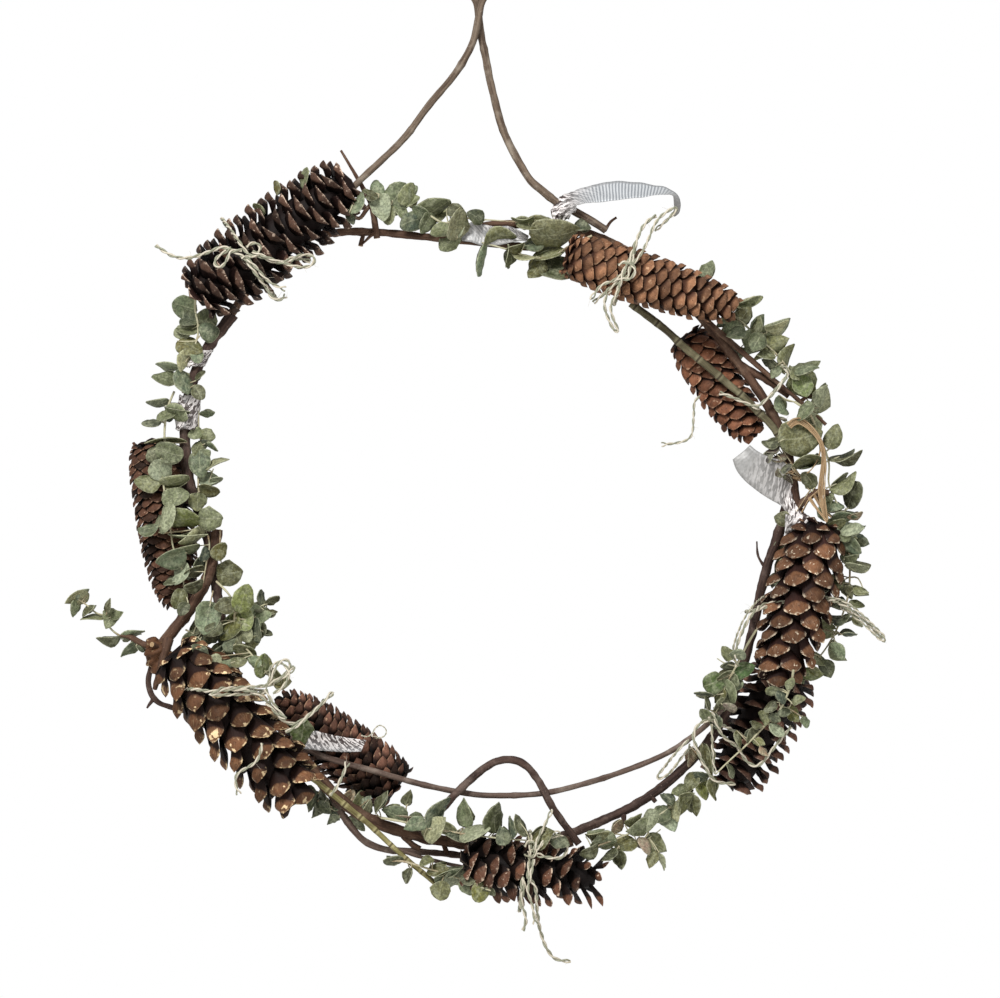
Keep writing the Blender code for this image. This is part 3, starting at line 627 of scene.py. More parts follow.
class Solid:
    """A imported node's corners and faces in millimetres about the ring, with a search tree."""

    def __init__(self, name):
        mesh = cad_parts[name].data
        self.corners = [(vertex.co - RING) / MM for vertex in mesh.vertices]
        self.faces = [tuple(face.vertices) for face in mesh.polygons]
        self.tree = BVHTree.FromPolygons(self.corners, self.faces)


SOLIDS = {name: Solid(name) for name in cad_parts}


def surface(x, z, side, reach, names):
    """The y of the outermost surface of some nodes near x, z as met from a side, or None."""
    sign = -1 if side == "front" else 1
    best = None
    for turn in range(PROBES + 1):
        spread = reach if turn else 0.0
        angle = TAU * turn / PROBES
        start = Vector((x + spread * math.cos(angle), OUTSIDE * sign,
                        z + spread * math.sin(angle)))
        for name in names:
            place = SOLIDS[name].tree.ray_cast(start, Vector((0, -sign, 0)), 2 * OUTSIDE)[0]
            if place is not None and (best is None or place.y * sign > best * sign):
                best = place.y
    return best


# ---------------------------------------------------------------- stems

# name, radius at the start and at the end, distance between its nodes, route
STEMS = (
    ("ring_stem_left", 3.8, 3.2, 46, """-174 146, -188 128, -198 110, -204 88, -206 64, -204 40,
        -198 18, -190 -4, -186 -28, -182 -55, -175 -85, -162 -113, -146 -134, -130 -150"""),
    ("ring_stem_top", 2.8, 2.4, 52, """-183 134 3, -172 152 2, -157 172 1, -140 188, -122 197.5,
        -100 200.5, -75 200, -50 197.5, -20 194.5, 5 192, 25 190"""),
    ("ring_stem_upper_right", 2.6, 3.4, 44, """-38 197.5, -20 202, 0 205 1, 20 205.5 2, 40 203.5 3,
        60 199.5 4, 78 192 4, 98 180 4, 118 163 4, 134 145 4, 150 126 4, 166 105 4, 180 84 4,
        190 62 4, 195 40 4, 197 24 3, 203 6 2, 208 -6 2"""),
    ("ring_stem_lower_right", 3.2, 3, 48, """191 52, 192 25, 187 3, 180 -17, 174 -40, 170 -60,
        163 -86, 151 -119, 141 -135, 130 -148, 110 -166, 88 -180.5, 60 -193, 44 -199, 28 -203.5"""),
    ("ring_stem_bottom", 4.2, 3.6, 40, """-136 -141, -118 -159 1, -102 -175 2, -84 -187 4,
        -60 -196 6, -32 -202 8, 0 -205.5 10, 28 -206 12, 50 -202 13"""),
    ("ring_stem_bottom_rear", 2.4, 2, 38, """-110 -170, -100 -187, -88 -201, -74 -207, -56 -208.5 1,
        -34 -210 2, -12 -213 3, 8 -216 4"""),
    ("branch_to_pinecone", 3.4, 4, 30, """-184 4, -187 -14, -192 -31, -201 -47, -212 -61,
        -221 -73 2"""),
    ("green_stem_bottom", 1.9, 1.7, 13.5, """-130 -152, -107 -171, -85 -189, -70 -203, -58 -214,
        -47 -223, -40 -229"""),
    ("chord_stem", 2, 1.8, 60, """-136 -133, -116 -145, -82 -155, -50 -164, -20 -170, 0 -171.5,
        30 -170, 60 -163, 90 -153, 115 -142 1, 136 -127 3, 150 -113 6, 158 -101 8"""),
    ("arch_stem", 2.7, 2.4, 70, """-50 -197, -38 -182, -20 -163, -5 -151, 6 -147.5, 17 -150,
        27 -161, 36 -178, 45 -191, 54 -203"""),
    ("outer_stem_right", 2.5, 1.1, 33, """112 162, 128 150, 150 131, 180 105, 205 84, 217 73"""),
    ("green_stem_right", 2.5, 2.4, 18, """88 153, 110 136.5, 123 124.5, 138 112, 151 101 1.5,
        162 92 3, 172 82 3.5, 179 75 3.8, 184 69 4.2, 189 61 5"""),
    ("spur_twig", 2.3, 0.8, 26, """-79 196, -83 218, -90 232, -97 244, -103 254"""),
    ("hanger_stem", 2.2, 2.7, 55, """-126 193 4, -112 211 3, -98 226 1, -88 236, -75 248, -60 263,
        -45 283 -1, -29 302 -2, -20 316 -2.4, -15 327 -2.4, -12.6 338 -2.4, -9.5 352 -2.2,
        -1.5 363 -1.5, 3 371 -0.8, -1 380 -0.2, -11.2 384.9, -21.5 380 0.2, -25.5 371 0.8,
        -21.5 363 1.5, -13.8 352 2.2, -11.6 338 2.4, -10 327 2.4, -7.6 316 2.4, -5 302 2, -1 285 1,
        3 270, 8 258, 15 245, 22 234, 30 227, 40 219, 50 214, 61 208, 72 201"""),
    ("loop_twig", 2, 1.7, 21, """-218 -74, -227 -85, -230 -98, -225 -109, -213 -114, -199 -117"""),
)
SMOOTH_STEMS = ("hanger_stem", "chord_stem", "green_stem_right", "green_stem_bottom")
STEM_COATS = {
    "hanger_stem": "hanger", "ring_stem_left": "dark", "ring_stem_lower_right": "dark",
    "arch_stem": "dark", "loop_twig": "dark", "green_stem_bottom": "green",
    "green_stem_right": "moss", "chord_stem": "grey", "ring_stem_bottom_rear": "grey",
}
# Bark, dark, light and wood colours, strength of the flecks, distance and start of the joints
BARKS = {
    "brown": ((104, 78, 62), (66, 47, 38), (150, 126, 106), (176, 148, 112)),
    "hanger": ((126, 110, 94), (76, 61, 51), (176, 164, 148), (170, 140, 104), 0.8),
    "dark": ((84, 65, 57), (48, 36, 33), (136, 118, 108), (160, 136, 108)),
    "grey": ((112, 94, 84), (76, 60, 53), (156, 142, 130), (176, 150, 120)),
    "green": ((146, 138, 90), (92, 82, 52), (192, 182, 136), (190, 176, 130), 0.6, (13.5, 49.0)),
    "moss": ((110, 104, 78), (66, 58, 44), (148, 142, 114), (160, 140, 104), 0.8, (18.0, 77.0)),
}
# Distance between a stem's rings, corners in a ring, and how lumpy the stems are
STEM_STEP = 1.6
STEM_SIDES = 12
SMOOTH_LUMPS = 0.05
STEM_LUMPS = 0.16
TWIG_SIDES = 8
TWIG_TONE = 0.4
TWIG_LUMPS = 0.25
# The points of each stem's route, at their depths
ROUTES = {}


def bark_coat(name, bark, dark, light, wood, flecks=1.0, joints=None):
    """Bark with long streaks, pale flecks and pale cut ends; joints are dark rings."""
    coat = Coat("bark_" + name, 0.75, 0.2)
    along, around, tone, cut = coat.marks()
    turn = around * TAU
    streak = coat.streaks(coat.math("COSINE", turn), coat.math("SINE", turn),
                          along * 22.0 + tone, 1.6, 6.0, 0.65)
    speck = coat.noise(650.0, 3.0, 0.6)
    colour = coat.mix(coat.step(streak, 0.32, 0.66), dark, bark)
    patch = coat.step(coat.noise(70.0, 4.0, 0.6), 0.48, 0.72)
    colour = coat.mix(patch * 0.55, colour, light)
    pale = coat.dots(420.0, 0.12, 0.24) * coat.step(speck, 0.45, 0.6)
    colour = coat.mix(pale * (0.55 * flecks), colour, light)
    if joints:
        spacing, shift = joints
        off = abs((along * 1000.0 + shift) % spacing - spacing / 2)
        colour = coat.mix(coat.step(off, 3.2, 1.2) * 0.5, colour, light)
        colour = coat.mix(coat.step(off, 0.9, 0.5) * 0.9, colour, dark)
    colour = coat.shade(colour, speck * 0.6 + 0.70)
    colour = coat.mix(cut, colour, wood)
    return coat.finish(colour, streak + pale * 0.5 + speck * 0.4, 0.0006, 0.7)


def stem_radius(start, end, spacing, seed):
    """The radius along a stem, with a low swelling and a scar at each of its nodes."""
    def radius(share, far):
        size = start + (end - start) * share
        off = abs((far + seed * 7) % spacing - spacing / 2)
        size *= 1 + 0.12 * math.exp(-(off / 1.8) ** 2)
        return size * (1 + 0.03 * math.sin(far * 0.21 + seed) + 0.02 * math.sin(far * 0.53))
    return radius


# Short side twigs, buds and scars: their stem, radius at the foot and at the end, and route,
# with y counted from the middle of the stem
SIDE_TWIGS = (
    ("spur_twig", 1.5, 1.2, "-83 219, -86 215 -1, -91 209 -2, -98 213 -2"),
    ("spur_twig", 1.6, 0.5, "-80 200, -84 197, -89 192 1"),
    ("ring_stem_top", 1.3, 1.6, "-88 200, -89 196 -2, -90 191 -3"),
    ("ring_stem_upper_right", 1.3, 0.8, "71 201, 75 207 -1, 79 210 -1"),
    ("ring_stem_upper_right", 2.8, 2.3, "149 127, 158 115, 169 108, 183 99.5, 193 92"),
    ("outer_stem_right", 1.5, 0.7, "200 88, 206 92 1, 213 90 1"),
    ("ring_stem_upper_right", 2.5, 2.1, "195 14, 200 20 -2, 207 26 -3, 213 29 -3, 219 28 -3"),
    ("ring_stem_lower_right", 1.7, 1.4, "101 -171, 103 -174 -1, 105 -176.5 -1"),
    ("ring_stem_lower_right", 2, 1.6, "83 -183, 84 -187 -1, 83.5 -191 -1"),
    ("ring_stem_lower_right", 1.2, 0.5, "178 -22, 173 -14, 172 -4"),
    ("branch_to_pinecone", 1.5, 0.6, "-190 -22, -186 -18 -3, -182 -10 -4"),
    ("branch_to_pinecone", 3.6, 1.6, "-216 -68 -5, -218 -77 -8, -220 -85 -8, -223 -94 -7, "
     "-225 -101 -4"),
    ("branch_to_pinecone", 2.6, 1.4, "-227 -73 -2, -233 -71.5 -2, -239 -68 -1, -243 -66.5, "
     "-248 -66"),
    ("branch_to_pinecone", 1.5, 1.8, "-222 -74 -6, -225 -72 -9, -226.5 -71.5 -11"),
    ("loop_twig", 1.6, 0.6, "-226 -107, -229 -111, -231 -114"),
    ("ring_stem_left", 1.6, 0.7, "-205 72, -210 78 -2, -213 86 -3"),
    ("ring_stem_bottom", 2.2, 2, "-63 -196, -58 -202 1, -51 -207 2"),
    ("ring_stem_bottom", 1.8, 1.6, "-36 -202, -34 -207 1, -33 -211 1"),
    ("ring_stem_bottom_rear", 1.5, 1.2, "-66 -207, -50 -212 -2, -34 -216 -3, -20 -219 -3"),
)


def add_knob(piece):
    """The woody foot of the lower left cone, where its branch meets it."""
    depth = ROUTES["branch_to_pinecone"][-1].y
    line = smooth_route([(-229, depth + 1, -68), (-224.5, depth - 2, -76),
                         (-220, depth - 2, -85), (-216, depth, -94)], 1.0)
    outline = Piece()
    add_tube(outline, line,
             lambda share, far: 0.6 + 7.4 * math.sqrt(max(1 - (2 * share - 1) ** 2, 0)),
             16, 2.3, 0.95)
    marks = [(0.64, 0.5, 0.3, 1.0)] * outline.count
    piece.add(np.concatenate(outline.points), outline.faces, marks)


def add_side_twig(piece, name, start, end, text):
    """A side twig, at the depth of its stem's nearest part."""
    points = route_in(text)
    place = Vector((points[0][0], 0, points[0][2]))
    near = min(smooth_route(ROUTES[name], 2.0),
               key=lambda spot: (Vector((spot.x, 0, spot.z)) - place).length)
    route = smooth_route([(x, y + near.y, z) for x, y, z in points], STEM_STEP)
    add_tube(piece, route, lambda share, far: start + (end - start) * share, TWIG_SIDES,
             TWIG_TONE, TWIG_LUMPS)


def add_stems():
    coats = {name: bark_coat(name, *looks) for name, looks in BARKS.items()}
    pieces = {name: Piece() for name, *_ in STEMS}
    for seed, (name, start, end, spacing, text) in enumerate(STEMS):
        points = route_in(text)
        depths = [y for _, y, _ in points]
        shift = depth_of(name) - (max(depths) + min(depths)) / 2
        ROUTES[name] = [Vector((x, y + shift, z)) for x, y, z in points]
        add_tube(pieces[name], smooth_route(ROUTES[name], STEM_STEP),
                 stem_radius(start, end, spacing, seed), STEM_SIDES, seed * 1.7,
                 SMOOTH_LUMPS if name in SMOOTH_STEMS else STEM_LUMPS)
    for name, *twig in SIDE_TWIGS:
        add_side_twig(pieces[name], name, *twig)
    for name, piece in pieces.items():
        coat = STEM_COATS.get(name, "brown")
        slot = "green_bark" if coat in ("green", "moss") else "bark"
        piece.build(name + "_bark", coats[coat], slot, name)


# ---------------------------------------------------------------- twine

# Gap that touching pieces keep, half the twine's thickness, and that of its plies
GAP = 0.3
TWINE_RADIUS = 1.3
PLY_RADIUS = 0.66
SPARE_PLY_RADIUS = 0.60
# Twine turns once in so many millimetres, a spare strand in so many radii of its plies
PITCH = 13.0
SPARE_PITCH = 20
# How far the plies stand apart at their end, for each of the last steps
END_FRAY = 0.06
SPARE_FRAY = 0.15
# A loop is fitted round what lies so far sideways and along from its place
TIE_REACH = 42
TIE_HALF_SLAB = 2.5
TIE_CORNERS = 36
SHORTEST = 1.3
# Room under a loose end, and how fast a strand that has nothing under it goes to the back
END_ROOM = 1.8
END_FALL = 0.3
SPARE_FALL = 0.12
# Distances between the points of a laid strand and of a wound one
LAY_STEP = 4.0
TWINE_STEP = 0.9
# A push grows to its full size over this distance inside its limits
PUSH_EDGE = 7
# Length of a stray fibre, distances between places for one, and the share that stays bare
HAIR = 4.0
HAIR_SPACING = 7.0
LOOP_HAIR_SPACING = 9.0
BARE_SHARE = 0.45

# name, place x and z, direction that the pieces run in there, the pinecone that it holds to the
# stems, its two loose ends, then its bow and spare strands, all as rows of x and z. A strand
# that is thinner than usual has the radius of its plies first.
TIES = (
    ("twine_tie_upper_left", (-165, 185), 36, "pinecone_upper_left",
     "-176 187, -187 184, -200 180.5, -211 182, -222 189",
     "-153 181, -142 177, -130 180, -121 178",
     ("-165 185, -172 184, -175 178, -179 174, -183 177, -179 182, -172 186",
      "-163 181, -156 174, -149 166, -143 162, -137 160",
      "-158 184, -148 180, -136 176, -126 174, -119 176, -119 181, -126 182, -134 179",
      "-162 187, -157 190, -153 186, -158 181, -165 180",
      "-150 163, -147 156, -142 153, -137 156")),
    ("twine_tie_upper_right", (84, 172), -17, "pinecone_upper_right",
     "88 184, 92 195, 97 204, 104 209",
     "77 164, 70 158, 63 152",
     ("86 174, 94 184, 99 194, 104 205, 112 212, 118 214, 112 207, 103 199",
      "84 172, 76 166, 68 163, 61 154",
      "82 171, 79 160, 74 148, 79 133, 75 136, 70 150, 73 160",
      "79 176, 84 178, 90 173, 86 167, 78 168")),
    ("twine_tie_inner_right", (150, 92), -109, "pinecone_inner_right",
     "178 90, 185 97, 192 107",
     "160 89, 153 92, 147 94",
     ("181 93, 186 99, 192 107, 187 112",
      (0.5, "134 92, 130.5 88, 130 80, 128.5 66, 121 61.5, 109 60"))),
    ("twine_tie_right", (196, -43), -75, "pinecone_right",
     "212 -41, 225 -44.5, 237 -52.5, 246 -60.5, 253 -67.5",
     "182 -44, 170 -48, 163 -58, 158 -70, 156 -80",
     ((0.5, "205 -40, 216 -40.5, 227 -43, 238 -51, 247 -59.5, 254 -67, 252 -69, 245 -62.5, "
       "236 -54.5, 225 -46.5"),
      (0.42, "176 -40, 169 -45, 163 -53, 158 -64, 155 -76, 158 -86"))),
    ("twine_tie_lower_right", (168, -132), -115, "pinecone_lower_right",
     "148 -131, 159 -140, 163 -147, 169 -152, 174 -151, 178 -146, 185 -137, 194 -126",
     "136 -122, 129 -130, 133 -144, 140 -157, 144 -162, 157 -164",
     ((0.5, "141 -124, 141.5 -134, 142 -145, 143.5 -157"),
      (0.55, "126 -134, 118 -142, 110 -153, 105 -160, 112 -158, 120 -148, 128 -138"))),
    ("twine_tie_bottom", (19, -217), -6, "pinecone_bottom",
     "18 -226, 16 -238, 19 -249, 17 -257",
     "25 -228, 26 -242, 28 -256, 32 -268, 38 -276, 48 -278",
     ("22 -205, 29 -201, 36 -196, 43 -196, 46 -203, 42 -209, 34 -209, 26 -207",
      "24 -206, 30 -199, 36 -193, 41 -194",
      "24 -204, 27 -196, 31 -188, 36 -178",
      "18 -202, 22 -198, 26 -203, 23 -209, 19 -206",
      "24 -210, 22 -220, 20 -230, 23 -240, 25 -252")),
    ("twine_tie_lower_left", (-192, -101), -90, "pinecone_lower_left",
     "-180 -99, -163 -98, -147 -96.5, -139 -91, -132 -85",
     "-180 -100, -167 -99.5, -156 -102, -148 -109, -140 -119, -131 -122, -118 -113, -107 -102",
     ("-150 -98, -146 -91, -142 -83, -137 -80, -134 -84, -138 -90, -146 -96",
      "-152 -98, -144 -94, -136 -90, -131 -85",
      "-150 -99, -146 -107, -140 -115, -136 -119, -142 -116, -149 -108",
      "-152 -134, -153 -140, -156 -146, -162 -150, -168 -154, -169 -160, -167 -167",
      "-137 -127, -128 -122, -118 -113, -107 -102",
      "-108 -168, -104 -163, -100 -155, -97 -147",
      "-145 -102, -138 -97, -135 -88, -141 -82, -147 -86, -146 -95",
      (0.26, "-88 -129, -84 -130, -80 -127, -78 -123, -73 -124, -72 -129, -77 -131, -81 -129"))),
)
RAFFIA = ("raffia_tie", (196, 40), -88, None, "203 54, 211 63", "206 34, 213 24, 216 12",
          ("192 72, 198 75.5, 206 70.5, 213 61, 215 49, 214 37, 213.5 27, 215.5 10",
           "206 25, 210 18, 216 9", "209 27, 213 19, 219 12",
           "204 70, 210 66, 213 56, 209 46, 204 41", "213 30, 206 24, 201 15"))
# How many flat strands lie side by side in each part of the tuft
RAFFIA_STRANDS = (7, 3, 2, 1, 2)
TIE_STEMS = tuple(name for name, *_ in STEMS if name != "loop_twig")
# Twine that the scales or the leaves hide or push out: shift to the back, first and last x
SHIFTS = {
    "twine_tie_right": (17.0, 168, 225), "twine_tie_lower_left": (14.0, -245, -194),
    "twine_tie_lower_right": (-8.0, 110, 205),
}
# The front of a loop that its cone's scales hide: shift, then first and last x and z
HIDDEN = {
    "twine_tie_inner_right": (14.0, 110, 215, 60, 130),
    "twine_tie_upper_left": (15.0, -205, -166, 188, 220),
    "twine_tie_lower_right": (32.0, 146, 220, -175, -95),
}
# The left and the right side of a loop lie at this share of their fitted distance
SQUEEZED = {
    "twine_tie_lower_left": (0.58, 1.0), "twine_tie_inner_right": (0.3, 1.0),
    "twine_tie_right": (1.0, 0.70), "twine_tie_lower_right": (1.0, 0.6),
}
# How far a knot slides along the first side of its loop, as a share of that side; its two ends
# are drawn together there
SLIDES = {"twine_tie_inner_right": 0.38, "twine_tie_lower_left": 0.0}


def pushed(route, push, low, high, floor=-OUTSIDE, ceiling=OUTSIDE):
    """Points moved to the back where they lie inside the limits of x and z."""
    for point in route:
        edge = min(point.x - low, high - point.x, point.z - floor, ceiling - point.z)
        point.y += push * min(max(edge / PUSH_EDGE, 0.0), 1.0)
    return route


def slice_outline(names, place, along, half_width):
    """The corners of a slab's cut through nodes near a place: sideways from it, and Y."""
    sideways = Vector((0, 1, 0)).cross(along).normalized()
    found = []
    for name in names:
        corners = SOLIDS[name].corners
        for face in SOLIDS[name].faces:
            for index, corner in enumerate(face):
                start = corners[corner] - place
                end = corners[face[index - 1]] - place
                near, far = start.dot(along), end.dot(along)
                low, high = 0.0, 1.0
                if abs(far - near) < 1e-9:
                    if abs(near) > half_width:
                        continue
                else:
                    cuts = sorted((limit - near) / (far - near)
                                  for limit in (-half_width, half_width))
                    low, high = max(low, cuts[0]), min(high, cuts[1])
                    if low > high:
                        continue
                for share in (low, high):
                    spot = start.lerp(end, share)
                    if abs(spot.dot(sideways)) < TIE_REACH:
                        found.append((spot.dot(sideways), spot.y + place.y))
    return sideways, found


def hoop(names, place, along, clear):
    """A convex loop of points that clears the nodes cut at a place, from the front and round."""
    sideways, found = slice_outline(names, place, along, TIE_HALF_SLAB + clear)
    loop = []
    for index in range(TIE_CORNERS):
        angle = -math.pi / 2 + TAU * index / TIE_CORNERS
        out = (math.cos(angle), math.sin(angle))
        far = max(found, key=lambda spot: spot[0] * out[0] + spot[1] * out[1])
        spot = place + sideways * (far[0] + clear * out[0])
        spot.y = far[1] + clear * out[1]
        if not loop or (spot - loop[-1]).length >= SHORTEST:
            loop.append(spot)
    return loop + [loop[0].copy()]


def lay(points, names, start_depth, fall, reach):
    """A strand laid from its start over the front of nodes, as points in millimetres."""
    depth = start_depth
    laid = []
    for place in smooth_route([(x, 0, z) for x, z in points], LAY_STEP):
        top = surface(place.x, place.z, "front", reach * 0.6, names)
        depth += fall * LAY_STEP
        if top is not None:
            depth = min(depth, top - reach)
        laid.append(Vector((place.x, depth, place.z)))
    for _ in range(4):
        for index in range(1, len(laid) - 1):
            mean = (laid[index - 1].y + laid[index + 1].y) / 2
            laid[index].y = min(laid[index].y, mean)
    return laid


def twine_coat():
    """Two-ply twine: one cream ply and one grey-green ply, told apart by the tone."""
    coat = Coat("twine", 0.9, 0.15)
    along, around, tone, _ = coat.marks()
    fibre = coat.streaks(around * 14.0, along * 420.0, tone)
    share = coat.step(fibre, 0.3, 0.7)
    cream = coat.mix(share, (186, 174, 148), (240, 234, 218))
    green = coat.mix(share, (116, 118, 96), (188, 188, 166))
    colour = coat.mix(coat.step(tone, 0.4, 0.6), cream, green)
    drift = coat.step(coat.noise(45.0, 3.0), 0.5, 0.7)
    colour = coat.mix(drift * 0.35, colour, (150, 140, 112))
    return coat.finish(colour, fibre, 0.0003, 0.8)


def add_twine(piece, route, ply, pitch, phase, tones, fray):
    """Plies wound round a route of millimetres, which stand apart at its end."""
    fine = smooth_route(route, TWINE_STEP)
    found = frames(fine)
    last = len(fine) - 1
    for index, tone in enumerate(tones):
        strand = []
        for spot, (place, (_, right, front)) in enumerate(zip(fine, found)):
            angle = phase + TAU * (spot * TWINE_STEP / pitch + index / len(tones))
            off = ply * 0.98 + max(6 - last + spot, 0) * fray
            strand.append(place + right * math.cos(angle) * off + front * math.sin(angle) * off)
        add_tube(piece, strand, lambda share, far: ply, 6, tone, 0.0, 0.0)


def any_way(chance):
    return Vector((chance.gauss(0, 1), chance.gauss(0, 1), chance.gauss(0, 1)))


def nudge(size, chance):
    """A small move sideways and up or down."""
    return Vector((chance.gauss(0, size), 0, chance.gauss(0, size)))


def add_hairs(piece, route, chance, spacing):
    """Stray fibres that stand off a strand."""
    for place in smooth_route(route, spacing):
        if chance.random() < BARE_SHARE:
            continue
        out = any_way(chance).normalized()
        bend = any_way(chance)
        size = HAIR * chance.uniform(0.5, 1.2)
        points = [place, place + out * size * 0.5, place + out * size + bend * size * 0.3]
        add_tube(piece, smooth_route(points, size / 3), lambda share, far: 0.11 - 0.06 * share,
                 3, 0.0, 0.0, 0.0)


def tie_route(name, spot, angle, held, first_end, second_end):
    """The whole length of a tie: one loose end, the turn round the pieces, the other end."""
    along = Vector((math.cos(math.radians(angle)), 0, math.sin(math.radians(angle))))
    place = Vector((spot[0], 0, spot[1]))
    clear = TWINE_RADIUS + 2 * GAP
    names = TIE_STEMS + ((held,) if held else ())
    loop = hoop(names, place, along, clear)
    last = len(loop) - 1
    for index, point in enumerate(loop):
        point += along * (2 * index / last - 1) * clear
        side = SQUEEZED.get(name, (1.0, 1.0))[point.x > place.x]
        point.x = place.x + (point.x - place.x) * side
    if name in SLIDES:
        slide = (loop[1] - loop[0]) * SLIDES[name]
        apart = (loop[-1] - loop[0]) * 0.35
        loop[0] += slide + apart
        loop[-1] += slide - apart
    ends = []
    for knot, text in ((loop[0], first_end), (loop[-1], second_end)):
        laid = lay(((knot.x, knot.z), *table(text)), names, knot.y, END_FALL,
                   TWINE_RADIUS + END_ROOM)
        ends.append(smooth_route(laid, 6.0)[1:])
    if name in HIDDEN:
        centre = (min(point.y for point in loop) + max(point.y for point in loop)) / 2
        pushed([point for point in loop[1:-1] if point.y < centre], *HIDDEN[name])
    return list(reversed(ends[0])) + loop + ends[1], names, loop[0]


def say_cord(route, bow):
    path = [tuple(RING + point * MM) for point in smooth_route(route, 1.2)]
    route_length(route) * MM


def add_tie(tie, coat, chance):
    name, *facts, spare_strands = tie
    route, names, knot = tie_route(name, *facts)
    shift = SHIFTS.get(name, (0.0, 0, 0))
    pushed(route, *shift)
    strand = Piece()
    add_twine(strand, route, PLY_RADIUS, PITCH, 0.0, (0.0, 1.0), END_FRAY)
    made = strand.build(name + "_strand", coat, "twine", name)
    spare = Piece()
    for index, text in enumerate(spare_strands):
        ply, text = text if isinstance(text, tuple) else (SPARE_PLY_RADIUS, text)
        laid = lay(table(text), names, knot.y + 6, SPARE_FALL, 2.6 + 0.8 * (index % 3))
        pushed(laid, *shift)
        add_twine(spare, laid, ply, SPARE_PITCH * ply, index * 1.3, (0.0, 1.0), SPARE_FRAY)
        add_hairs(spare, laid, chance, HAIR_SPACING)
    add_hairs(spare, route, chance, LOOP_HAIR_SPACING)
    say_cord(route, spare.build(name + "_bow", coat, "twine"))


def add_ties():
    coat = twine_coat()
    chance = random.Random(3)
    for tie in TIES:
        add_tie(tie, coat, chance)


def raffia_coat():
    coat = Coat("raffia", 0.7, 0.3)
    along, around, tone, _ = coat.marks()
    fibre = coat.streaks(around * 9.0, along * 90.0, tone)
    colour = coat.mix(coat.step(fibre, 0.3, 0.72), (142, 112, 80), (212, 184, 144))
    shade = coat.streaks(tone * 9.0, along * 30.0, 0.0, 1.0, 1.0, 0.5)
    colour = coat.mix(coat.step(shade, 0.5, 0.7) * 0.6, colour, (92, 68, 48))
    return coat.finish(colour, fibre, 0.0004, 0.8)


def add_raffia():
    """One wound strand as the cord, and a tuft of flat strands that lie side by side."""
    coat = raffia_coat()
    *facts, parts = RAFFIA
    route, names, knot = tie_route(*facts)
    strand = Piece()
    add_twine(strand, route, PLY_RADIUS, 14.0, 0.0, (0.0, 0.6), 0.08)
    made = strand.build("raffia_tie_strand", coat, "raffia", "raffia_tie")
    spare = Piece()
    chance = random.Random(5)
    names += ("pinecone_right",)
    for text, count in zip(parts, RAFFIA_STRANDS):
        laid = smooth_route(lay(table(text), names, knot.y - 2, 0.0, 11.0), 1.5)
        found = frames(laid)
        for fold in range(count):
            off = (fold - (count - 1) / 2) * 0.60
            lift = chance.uniform(-1.0, 1.0)
            strand_route = [
                point + right * off * (0.80 + 0.26 * math.cos(index * 0.16 + fold))
                + Vector((0, lift, 0))
                for index, (point, (_, right, _)) in enumerate(zip(laid, found))]
            add_tube(spare, strand_route, lambda share, far: 0.62 - 0.25 * share, 5,
                     fold * 0.61, 0.5, 0.0)
    say_cord(route, spare.build("raffia_tie_tuft", coat, "raffia"))


# ---------------------------------------------------------------- eucalyptus

# The kinds of leaf colour: g grey-green, p pale, d dark, o olive, y yellow-green, b bright
# green, n dry brown, m dull olive, k dark dry brown. Dark d leaves set behind the others also
# fill gaps between stems and cones, where their darkness is painted shade
TONES = {
    "g": (114, 120, 88), "p": (148, 152, 122), "d": (74, 78, 58), "o": (92, 91, 56),
    "y": (110, 115, 64), "b": (88, 108, 56), "n": (150, 128, 108), "m": (126, 122, 86),
    "k": (84, 72, 64),
}

